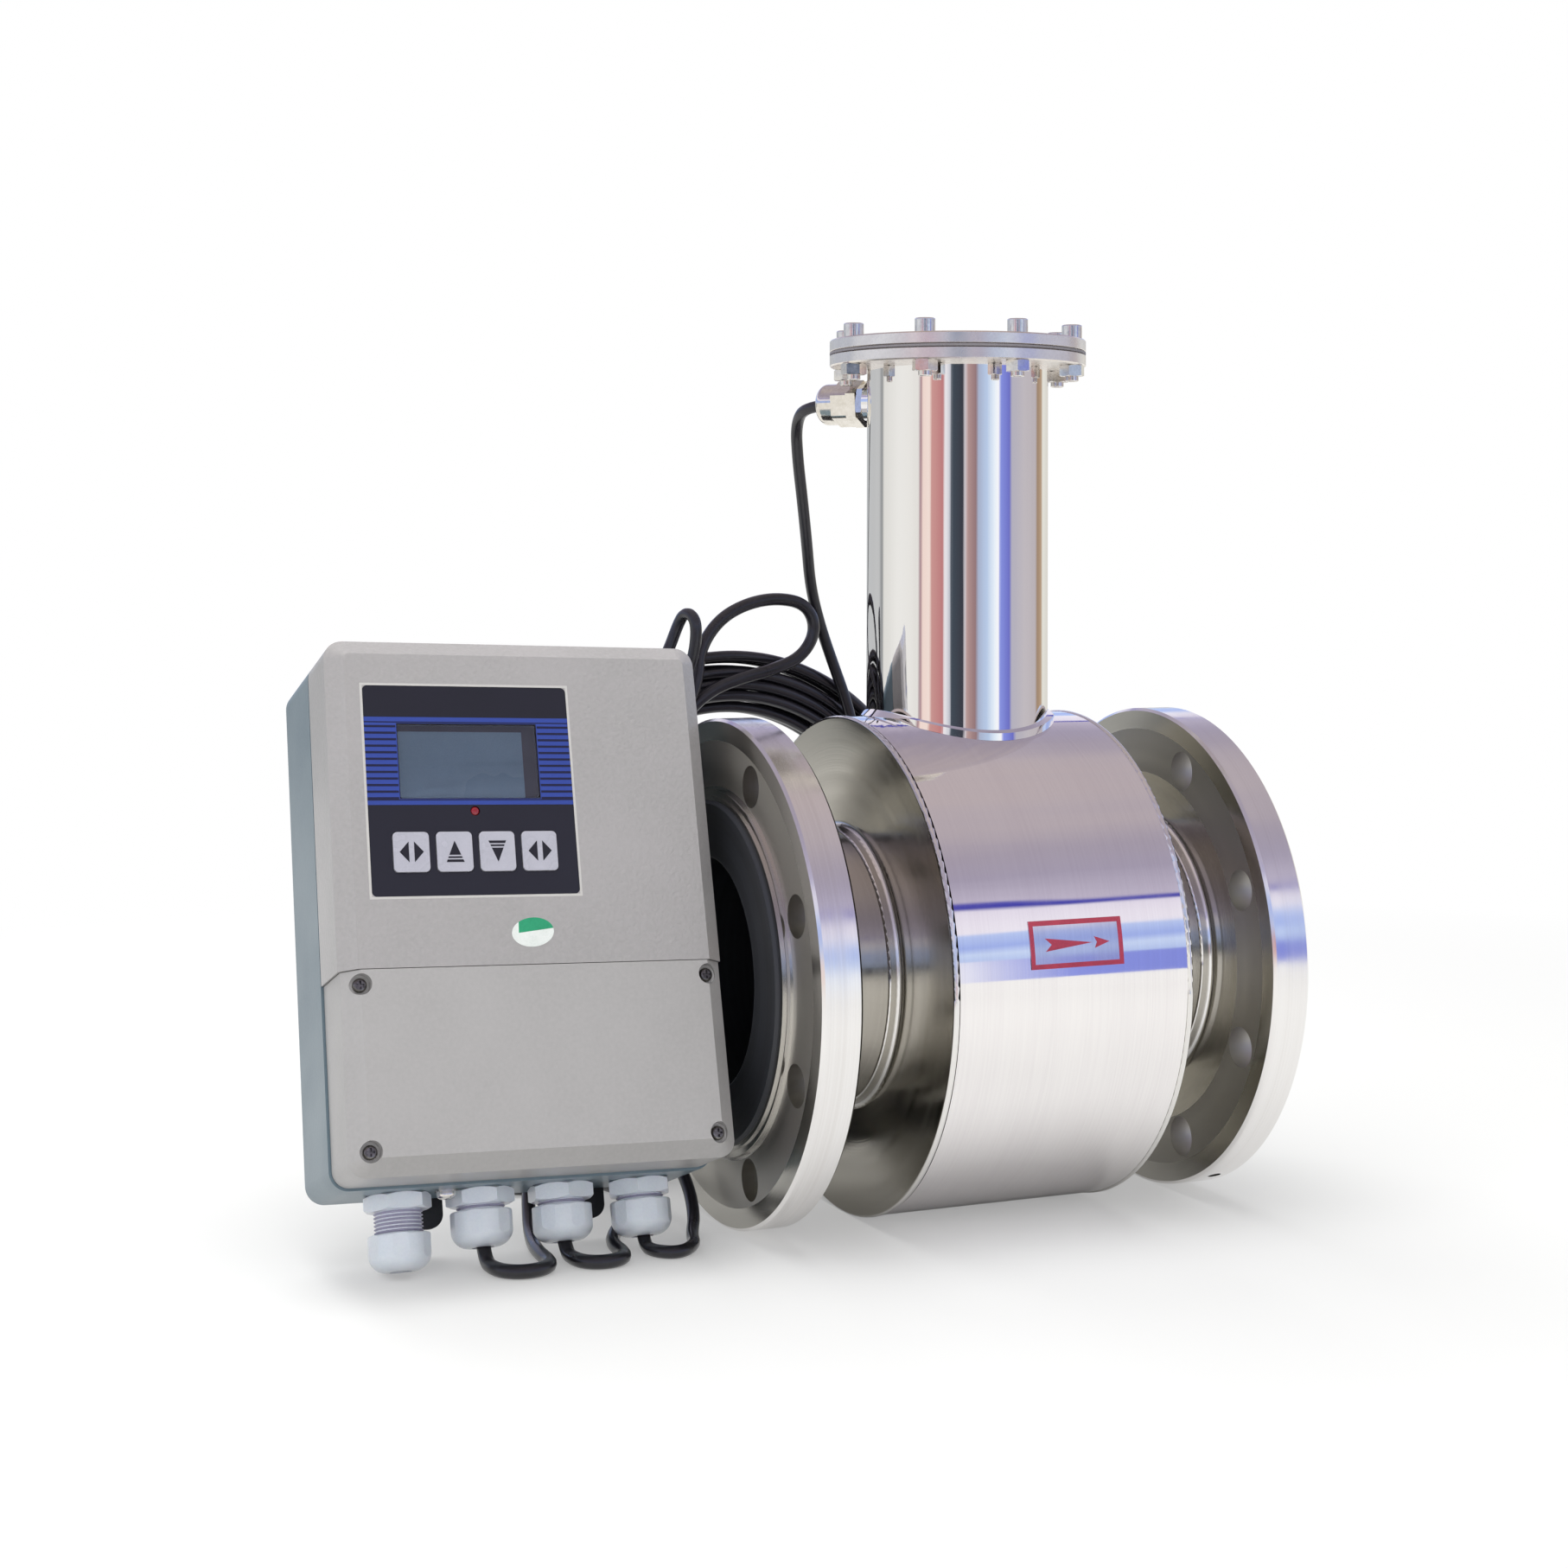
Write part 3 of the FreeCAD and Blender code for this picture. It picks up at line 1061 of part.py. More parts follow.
def gland_cap(index, loosened):
    """Dome nut of a gland, screwed out by the loosened length."""
    start = loosened - GLAND_CAP_START
    tip = loosened - GLAND_CAP_TIP
    foot = gland_foot(index)
    form = turned(((start, 0), (start, GLAND_CAP_RADIUS), (tip, GLAND_CAP_RADIUS), (tip, 0)),
                  [0, SLACK, GLAND_CAP_ROUND, 0], DOWN, X_AXIS, foot)
    turn = GLAND_TURN_STEP * index + GLAND_CAP_TURN
    form = form.common(hexagon(GLAND_CAP_HEX, start, tip, DOWN, foot, turn))
    hollow = bar(GLAND_SLEEVE_RADIUS, start - SLACK, tip - GLAND_CAP_END, DOWN, foot)
    mouth = bar(GLAND_MOUTH_RADIUS, start, tip + SLACK, DOWN, foot)
    return form.cut([hollow, mouth])


def gland_seal(index, cable_radius):
    """Rubber bush in the gland, bored for its cable, or blank if it has none."""
    start = -GLAND_SLEEVE_TIP - 2 * GLAND_CAP_END - SLACK
    end = -GLAND_CAP_TIP - GLAND_CAP_END
    foot = gland_foot(index)
    if cable_radius:
        return ring(GLAND_BORE_RADIUS, cable_radius, start, end, DOWN, foot)
    return bar(GLAND_BORE_RADIUS, start, end, DOWN, foot)


def gland_locknut(index):
    """Nut that holds a gland from inside the box."""
    start = -BOX_BOTTOM - BOX_WALL - LOCKNUT_HEIGHT
    return hex_nut(LOCKNUT_WIDTH, GLAND_THREAD_RADIUS, start, start + LOCKNUT_HEIGHT, DOWN,
                   gland_foot(index), NUT_TURN)


def earth_screw():
    """Pan-head earth screw under the box."""
    foot = Vector(EARTH_SCREW_X, 0, EARTH_SCREW_Z)
    seat = -BOX_BOTTOM + EARTH_WASHER_THICKNESS
    top = seat + EARTH_HEAD_HEIGHT
    screw = turned(((seat - EARTH_SCREW_LENGTH, 0), (seat - EARTH_SCREW_LENGTH, EARTH_SCREW_RADIUS),
                    (seat, EARTH_SCREW_RADIUS), (seat, EARTH_HEAD_RADIUS),
                    (top, EARTH_HEAD_RADIUS), (top, 0)),
                   [0, 0, 0, 0, EARTH_HEAD_HEIGHT * HEAD_ROUND_SHARE, 0], DOWN, X_AXIS, foot)
    return screw.cut(cross_recess(top, foot, DOWN, X_AXIS))


def earth_washer():
    """Plain washer under the earth screw's head."""
    wall = -BOX_BOTTOM
    return ring(EARTH_WASHER_RADIUS, EARTH_SCREW_RADIUS, wall, wall + EARTH_WASHER_THICKNESS,
                DOWN, Vector(EARTH_SCREW_X, 0, EARTH_SCREW_Z))


# Wall bracket
def mounting_bracket():
    """Forked steel plate behind the box, with slots for the wall or pipe bolts."""
    back = -BOX_DEPTH - BRACKET_THICKNESS
    foot = BOX_BOTTOM - BRACKET_BELOW_BOX
    plate = slab(-BRACKET_OUTER, BRACKET_OUTER, foot, BRACKET_TOP, back, -BOX_DEPTH,
                 BRACKET_CORNER)
    fork = slab(-BRACKET_INNER, BRACKET_INNER, foot - BRACKET_CORNER, BRACKET_SLOT_TOP,
                back - SLACK, -BOX_DEPTH + SLACK, BRACKET_CORNER)
    x = (BRACKET_OUTER + BRACKET_INNER) / 2
    cuts = [fork]
    for side in (-1, 1):
        for y in BRACKET_SLOT_LEVELS:
            reach = BRACKET_SLOT_LENGTH / 2
            cuts.append(slab(side * x - BRACKET_SLOT_RADIUS, side * x + BRACKET_SLOT_RADIUS,
                             y - reach, y + reach, back - SLACK, -BOX_DEPTH + SLACK,
                             BRACKET_SLOT_CORNER))
    hole = bar(BRACKET_SCREW_RADIUS, back - SLACK, -BOX_DEPTH + SLACK, Z_AXIS)
    plate = plate.cut(cuts + pattern(hole, bracket_screw_places()))
    legs = [edge for edge in plate.Edges if is_leg_corner(edge, foot)]
    return plate.makeFillet(BRACKET_CORNER, legs)


def is_leg_corner(edge, foot):
    """True for the sharp inner edges at the foot of the bracket's legs."""
    box = edge.BoundBox
    at_foot = abs(box.YMin - foot) < 1e-3 and abs(box.YMax - foot) < 1e-3
    upright = box.ZLength > BRACKET_THICKNESS - 1e-3
    return at_foot and upright and abs(abs(box.XMin) - BRACKET_INNER) < 1e-3


def bracket_screws():
    """Pan-head screws between bracket and box."""
    seat = BOX_DEPTH + BRACKET_THICKNESS
    top = seat + BRACKET_HEAD_HEIGHT
    tail = seat - BRACKET_SCREW_LENGTH
    screw = turned(((tail, 0), (tail, BRACKET_SCREW_RADIUS), (seat, BRACKET_SCREW_RADIUS),
                    (seat, BRACKET_HEAD_RADIUS), (top, BRACKET_HEAD_RADIUS), (top, 0)),
                   [0, 0, 0, 0, BRACKET_HEAD_HEIGHT * HEAD_ROUND_SHARE, 0], Z_AXIS * -1, X_AXIS)
    screw = screw.cut(cross_recess(top, ORIGIN, Z_AXIS * -1, X_AXIS))
    return pattern(screw, bracket_screw_places())


# Cables
def in_neck_gland(distance):
    """Point of the neck gland's axis at a distance from the neck's axis."""
    return NECK_GLAND_FOOT + NECK_GLAND_AXIS * distance


def in_gland(index, y):
    """Point of a box gland's axis, in the meter's frame, at a height in the box's frame."""
    return CONVERTER.multVec(Vector(GLAND_PLACES[index], y, GLAND_DEPTH))


def under_gland(index, level):
    """Point where a box gland's axis comes down to a level near the table."""
    top = in_gland(index, 0)
    step = in_gland(index, -1) - top
    return top + step * ((level - top.z) / step.z)


def coil_axis():
    """Axis of the cable coil, square to the plane that it stands in."""
    return Vector(-COIL_PLANE_SLOPE, 1, 0).normalize()


def sensor_drop_route():
    """Sensor cable from the neck gland down behind the drum and into the coil."""
    points = [in_neck_gland(CORD_START_IN_NECK), in_neck_gland(CORD_CORNER_AT_NECK)]
    chosen = ((-45.5, 79.0, 243.5), (-42.5, 83.5, 227.0), (-38.8, 86.5, 208.5),
              (-34.6, 90.5, 187.0), (-30.2, 96.0, 166.0), (-23.2, 100.0, 147.0),
              (-16.4, 100.5, 129.5), (-9.2, 99.8, 110.5), (-3.8, 99.5, 90.0),
              (0.5, 103.2, 67.5), (3.0, 110.3, 44.0), (5.0, 115.4, 19.0),
              (4.6, 117.2, -7.0), (1.5, 115.6, -33.0), (-5.5, 113.0, -58.0))
    return points + [Vector(*point) for point in chosen]


def sensor_tail_route():
    """Sensor cable from the coil over its small arch, behind the box and into the last gland."""
    chosen = ((-122.0, 94.5, 99.0), (-112.0, 84.5, 106.5), (-106.0, 78.0, 117.0),
              (-100.8, 74.2, 128.5), (-98.6, 72.8, 139.5), (-98.4, 72.6, 149.6),
              (-99.6, 76.0, 154.0), (-101.2, 81.4, 154.0), (-102.6, 85.2, 149.0),
              (-106.5, 86.2, 138.0), (-113.5, 85.4, 124.0), (-123.0, 82.8, 105.0),
              (-130.5, 79.6, 82.0), (-137.0, 75.0, 55.0), (-141.0, 66.0, 22.0),
              (-142.0, 54.0, -14.0), (-139.0, 39.0, -47.0), (-132.5, 23.0, -74.0),
              (-127.0, 8.0, -92.5), (-130.0, -7.5, -103.0),
              (-136.5, -21.0, SENSOR_CABLE_LEVEL), (-141.0, -36.5, SENSOR_CABLE_LEVEL),
              (-151.5, -46.5, SENSOR_CABLE_LEVEL), (-161.0, -39.5, SENSOR_CABLE_LEVEL))
    last = len(GLAND_PLACES) - 1
    ends = [under_gland(last, SENSOR_CABLE_LEVEL), in_gland(last, cord_end_in_gland())]
    return [Vector(*point) for point in chosen] + ends


def supply_route():
    """Supply lead from the second gland, round the loop above the coil, to its bare end."""
    points = [in_gland(1, cord_end_in_gland()), under_gland(1, LEAD_LEVEL)]
    chosen = ((-229.3, -42.0, LEAD_LEVEL), (-222.3, -49.0, LEAD_LEVEL),
              (-212.3, -49.0, LEAD_LEVEL), (-205.3, -42.0, LEAD_LEVEL),
              (-205.3, -24.5, LEAD_LEVEL), (-203.0, -8.5, LEAD_LEVEL),
              (-199.0, 9.0, -104.0), (-194.0, 26.0, -91.0),
              (-186.0, 38.0, -66.0), (-176.0, 43.5, -35.0), (-162.0, 50.0, 2.0),
              (-147.0, 57.5, 37.0), (-135.0, 65.5, 62.0), (-124.0, 71.5, 80.0),
              (-111.5, 77.0, 97.5), (-101.0, 80.0, 110.0), (-93.5, 83.8, 121.5),
              (-91.0, 87.5, 137.0), (-80.0, 90.5, 151.0), (-64.5, 93.0, 158.5),
              (-48.0, 94.5, 161.0), (-33.0, 94.3, 158.0), (-27.8, 94.0, 145.5),
              (-35.5, 93.8, 132.5), (-51.0, 92.3, 126.8), (-69.0, 90.3, 123.0),
              (-85.5, 88.4, 117.5), (-100.5, 86.2, 105.0), (-111.5, 84.4, 88.0),
              (-123.5, 81.0, 68.0), (-129.0, 75.0, 45.0), (-131.0, 66.0, 19.0),
              (-131.0, 56.0, -12.0), (-132.5, 49.5, -44.0), (-137.5, 47.5, -72.0),
              (-146.0, 53.0, -92.5), (-157.0, 65.0, -104.0), (-170.5, 79.0, LEAD_LEVEL),
              (-187.0, 90.5, LEAD_LEVEL), (-207.0, 97.0, LEAD_LEVEL),
              (-228.0, 99.5, LEAD_LEVEL))
    return points + [Vector(*point) for point in chosen]


def output_route():
    """Output lead from the third gland to its bare end on the table behind the coil."""
    points = [in_gland(2, cord_end_in_gland()), under_gland(2, LEAD_LEVEL)]
    chosen = ((-194.8, -41.5, LEAD_LEVEL), (-188.4, -47.9, LEAD_LEVEL),
              (-179.4, -47.9, LEAD_LEVEL), (-173.0, -41.5, LEAD_LEVEL),
              (-173.0, -22.0, LEAD_LEVEL), (-164.5, -3.0, LEAD_LEVEL),
              (-152.0, 15.0, LEAD_LEVEL), (-141.0, 33.0, LEAD_LEVEL),
              (-136.5, 52.0, LEAD_LEVEL), (-138.5, 72.0, LEAD_LEVEL),
              (-146.5, 92.0, LEAD_LEVEL), (-159.0, 109.0, LEAD_LEVEL),
              (-175.5, 121.0, LEAD_LEVEL))
    return points + [Vector(*point) for point in chosen]


def cord_end_in_gland():
    """Height in the box's frame where a cable's solid starts, inside its seal."""
    return GLAND_CAP_TIP + CORD_START_IN_GLAND


def cord(name, points, radius):
    """Round cable along a route of straight runs joined by tangent arcs."""
    edges = []
    leave = points[0]
    radii = []
    for index in range(1, len(points) - 1):
        before, at, after = points[index - 1:index + 2]
        run = min(before.distanceToPoint(at), at.distanceToPoint(after))
        half_turn = (at - before).getAngle(after - at) / 2
        bend = CORD_BEND_SHARE * run / math.tan(half_turn)
        radii.append(bend)
        enter, middle, end = corner_arc(before, at, after, bend)
        edges.append(Part.LineSegment(leave, enter).toShape())
        edges.append(Part.Arc(enter, middle, end).toShape())
        leave = end
    edges.append(Part.LineSegment(leave, points[-1]).toShape())
    path = Part.Wire(edges)
    section = Part.Circle(points[0], points[1] - points[0], radius).toShape()
    solid = path.makePipeShell([Part.Wire(section)], True, False)
    expected = math.pi * radius ** 2 * path.Length
    print(f"{name}: length {path.Length:.0f}, tightest bend {min(radii):.1f}, "
          f"volume {solid.Volume / expected:.4f} of section times length")
    print("  bends", " ".join(f"{bend:.0f}" for bend in radii))
    return solid


def cable_coil():
    """Outer shape of the coiled part of the sensor cable, standing behind the drum."""
    half = COIL_DEPTH / 2
    foot = Vector(COIL_CENTRE_X, COIL_PLANE_Y, TABLE_LEVEL + COIL_OUTER_RADIUS)
    profile = ((-half, COIL_INNER_RADIUS), (-half, COIL_OUTER_RADIUS),
               (half, COIL_OUTER_RADIUS), (half, COIL_INNER_RADIUS))
    return turned(profile, [COIL_ROUND] * 4, coil_axis(), Z_AXIS, foot)


# Assembly
def sensor_nodes():
    """Sub-parts of the flanged sensor, in the meter's frame."""
    outlet = outlet_flange()
    end_plate = outlet_end_plate()
    return {
        "measuring_tube": measuring_tube(),
        "rubber_liner": rubber_liner(),
        "inlet_flange": outlet.mirror(ORIGIN, X_AXIS),
        "outlet_flange": outlet.cut(earth_hole()),
        "housing_shell": housing_shell(),
        "inlet_end_plate": end_plate.mirror(ORIGIN, X_AXIS),
        "outlet_end_plate": end_plate,
        "flow_label": flow_label(),
        "upper_coil": field_coil(1),
        "lower_coil": field_coil(-1),
        "pole_shoes": pole_shoes(),
        "magnet_yoke": magnet_yoke(),
        "electrodes": electrodes(),
        "electrode_bushes": electrode_bushes(),
        "electrode_nuts": electrode_nuts(),
        "neck_tube": neck_tube(),
        "neck_flange": round_plate(NECK_TOP - PLATE_THICKNESS, NECK_RADIUS),
        "neck_gasket": cover_gasket(),
        "neck_cover": neck_cover(),
        "cover_bolts": cover_bolts(),
        "cover_nuts": cover_nuts(),
        "terminal_board": terminal_board(),
        "terminal_block": terminal_block(),
        "neck_gland_body": neck_gland_body(),
        "neck_gland_locknut": neck_gland_locknut(),
        "neck_gland_cap": neck_gland_cap(),
        "neck_gland_seal": neck_gland_seal(),
    }


def converter_nodes():
    """Sub-parts of the converter box, in the box's own frame."""
    glands = range(len(GLAND_PLACES))
    cables = (0.0, LEAD_RADIUS, LEAD_RADIUS, SENSOR_CABLE_RADIUS)
    loosened = (LOOSE_CAP_TRAVEL, 0.0, 0.0, 0.0)
    nodes = {
        "back_housing": back_housing(),
        "box_gasket": box_gasket(),
        "front_cover": front_cover(),
        "terminal_cover": terminal_cover(),
        "cover_screws": cover_screws(),
        "keypad_overlay": keypad_overlay(),
        "display_window": display_window(),
        "display_module": display_module(),
        "status_lamp": status_lamp(),
        "display_board": display_board(),
        "main_board": main_board(),
        "transformer": transformer(),
        "terminal_strip": terminal_strip(),
        "gland_bodies": [gland_body(index) for index in glands],
        "gland_caps": [gland_cap(index, loosened[index]) for index in glands],
        "gland_seals": [gland_seal(index, cables[index]) for index in glands],
        "gland_locknuts": [gland_locknut(index) for index in glands],
        "earth_screw": earth_screw(),
        "earth_washer": earth_washer(),
        "mounting_bracket": mounting_bracket(),
        "bracket_screws": bracket_screws(),
    }
    for name, x in zip(("key_left", "key_up", "key_down", "key_right"), KEY_XS):
        nodes[name] = key(x)
    return nodes


def cable_nodes():
    """Cables, in the meter's frame."""
    return {
        "sensor_cable_drop": cord("sensor_cable_drop", sensor_drop_route(), SENSOR_CABLE_RADIUS),
        "cable_coil": cable_coil(),
        "sensor_cable_tail": cord("sensor_cable_tail", sensor_tail_route(), SENSOR_CABLE_RADIUS),
        "supply_lead": cord("supply_lead", supply_route(), LEAD_RADIUS),
        "output_lead": cord("output_lead", output_route(), LEAD_RADIUS),
    }


def as_shape(solids):
    """One shape for a node, also where it is a group of separate solids."""
    if not isinstance(solids, list):
        return solids
    pieces = []
    for shape in solids:
        pieces.extend(shape.Solids)
    return Part.Compound(pieces)


def main():
    """Build every sub-part and write one STEP file for each."""
    os.makedirs("parts", exist_ok=True)
    nodes = {name: as_shape(solids) for name, solids in sensor_nodes().items()}
    for name, solids in converter_nodes().items():
        shape = as_shape(solids)
        shape.Placement = CONVERTER.multiply(shape.Placement)
        nodes[name] = shape
    nodes.update(cable_nodes())
    for name, shape in nodes.items():
        shape.exportStep(f"parts/{name}.step")


main()
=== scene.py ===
"""Looks of an electromagnetic flow meter: flanged sensor, cable and converter box.

Sizes are written in millimetres and turned to metres once, when a mesh is finished. The frame is
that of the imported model: the origin is on the flow axis under the neck, +X is the flow direction,
+Z runs up the neck, and the table lies at the lowest point of the flanges.
"""
import logging
import math
from dataclasses import dataclass, field
from enum import Enum
from typing import Any, Iterable, Optional, Sequence

import bmesh
import bpy
from mathutils import Matrix, Vector

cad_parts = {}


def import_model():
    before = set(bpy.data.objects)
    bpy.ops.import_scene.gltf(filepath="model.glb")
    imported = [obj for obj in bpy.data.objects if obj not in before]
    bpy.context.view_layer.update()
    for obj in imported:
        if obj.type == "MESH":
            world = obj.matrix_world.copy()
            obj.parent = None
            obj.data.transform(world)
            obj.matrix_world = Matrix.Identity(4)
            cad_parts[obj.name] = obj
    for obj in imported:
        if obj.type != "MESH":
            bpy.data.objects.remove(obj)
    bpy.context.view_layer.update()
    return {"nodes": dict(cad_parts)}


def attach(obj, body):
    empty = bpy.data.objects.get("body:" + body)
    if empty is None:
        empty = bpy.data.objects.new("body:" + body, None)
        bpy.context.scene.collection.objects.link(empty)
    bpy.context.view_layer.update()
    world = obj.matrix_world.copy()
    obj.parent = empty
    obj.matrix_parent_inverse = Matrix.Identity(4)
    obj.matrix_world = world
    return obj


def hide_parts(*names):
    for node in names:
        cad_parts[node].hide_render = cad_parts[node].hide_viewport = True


LOG = logging.getLogger("flow_meter")
MM = 0.001
METER = "meter"
TABLE_MM = -110.0
WHITE = (1.0, 1.0, 1.0, 1.0)
# How far a print stands off the surface under it
PRINT_GAP = 0.01
# Fine structure of a finish, and the scale and waviness of wound or stacked layers
NOISE_DETAIL = 4.0
LAYER_SCALE = 0.16
LAYER_WAVE = 0.6
# How much slower a pattern changes along a drawn tube, and across the rings of a rolled shell
DRAWN_STRETCH = 0.012
ROLLED_DRIFT = 0.02
# Spans of the textures' values that carry a finish from its smoothest to its roughest place
GRAIN_SPAN = (0.12, 0.42)
BLOTCH_SPAN = (0.3, 0.7)
# Share of the normal that points along the flow axis, from a wall to a face
FACING_SPAN = (0.75, 0.97)
# How much rougher the wall of a drilled hole is
WALL_ROUGHER = 0.3
Point = tuple[float, float, float]
Flat = tuple[float, float]
# Left, right, bottom and top
Box = tuple[float, float, float, float]
Stops = Sequence[tuple[float, str]]
Piece = bpy.types.Object
Tree = bpy.types.NodeTree
Node = bpy.types.Node
Socket = bpy.types.NodeSocket
Mesh = bmesh.types.BMesh


class Grain(Enum):
    """How the pattern of a finish runs over the piece."""

    EVEN = "the same in all directions"
    TURNED = "rings round the flow axis, as a lathe leaves them"
    ROLLED = "fine lines round the flow axis on a rolled shell"
    DRAWN = "long lines up the neck"
    BANDED = "narrow layers across the flow axis"


class Pattern(Enum):
    """Texture that draws the pattern of a finish."""

    NOISE = "TexNoise"
    CELLS = "TexVoronoi"
    LAYERS = "TexWave"


def linear(colour: str) -> tuple[float, float, float, float]:
    """Turn an sRGB hex colour into the linear values that the shaders take.

    Args:
        colour: six hex digits, with or without the leading #.

    Returns:
        Linear red, green, blue and an alpha of 1.
    """
    digits = colour.lstrip("#")
    shares = [int(digits[k:k + 2], 16) / 255 for k in (0, 2, 4)]
    values = [s / 12.92 if s <= 0.04045 else ((s + 0.055) / 1.055) ** 2.4 for s in shares]
    return (*values, 1.0)


def put_in_scene(name: str, data: bpy.types.ID) -> Piece:
    """Make an object at the origin and link it to the scene.

    Args:
        name: the object's name.
        data: the mesh, curve, camera or lamp that it shows.

    Returns:
        The new object.
    """
    item = bpy.data.objects.new(name, data)
    bpy.context.scene.collection.objects.link(item)
    return item


def bare_tree(owner: bpy.types.ID) -> Tree:
    """Give the node tree of a material or world, with nothing in it.

    Args:
        owner: the material or world.

    Returns:
        Its empty tree.
    """
    owner.use_nodes = True
    owner.node_tree.nodes.clear()
    return owner.node_tree


def write_mesh(name: str, mesh: Mesh) -> bpy.types.Mesh:
    """Write a mesh to a data block.

    Args:
        name: the data block's name.
        mesh: the mesh, which is freed.

    Returns:
        The data block.
    """
    data = bpy.data.meshes.new(name)
    mesh.to_mesh(data)
    mesh.free()
    return data


def add_node(tree: Tree, kind: str, inputs: Optional[dict[Any, Any]] = None) -> Node:
    """Add one node with its settings, values and links.

    Args:
        tree: the tree to add to.
        kind: the node's type name, after the ShaderNode that all kinds start with.
        inputs: values of the node's properties by name, and values or sockets for its inputs by
            name or number.

    Returns:
        The new node.
    """
    node = tree.nodes.new("ShaderNode" + kind)
    for name, value in (inputs or {}).items():
        if isinstance(name, str) and hasattr(node, name):
            setattr(node, name, value)
        elif isinstance(value, Socket):
            tree.links.new(value, node.inputs[name])
        else:
            node.inputs[name].default_value = value
    return node


def compute(tree: Tree, operation: str, *terms: Any) -> Socket:
    """Add a math node over numbers or sockets, and give its result."""
    inputs = {"operation": operation, **dict(enumerate(terms))}
    return add_node(tree, "Math", inputs).outputs[0]


def rescale(tree: Tree, value: Socket, span: Flat,
            result: tuple[Any, Any] = (0.0, 1.0)) -> Socket:
    """Map a value from a span to a result's span, held at both ends."""
    return add_node(tree, "MapRange", {
        "Value": value, "From Min": span[0], "From Max": span[1],
        "To Min": result[0], "To Max": result[1]}).outputs[0]


def blend(tree: Tree, share: Socket, first: Any, second: Any) -> Socket:
    """Mix two colours, each a value or a socket, by the second one's share."""
    return add_node(tree, "Mix", {
        "data_type": "RGBA", 0: share, 6: first, 7: second}).outputs[2]


def mix_shaders(tree: Tree, share: Socket, first: Node, second: Node) -> Node:
    """Mix two shaders by the second one's share."""
    return add_node(tree, "MixShader", {
        0: share, 1: first.outputs[0], 2: second.outputs[0]})


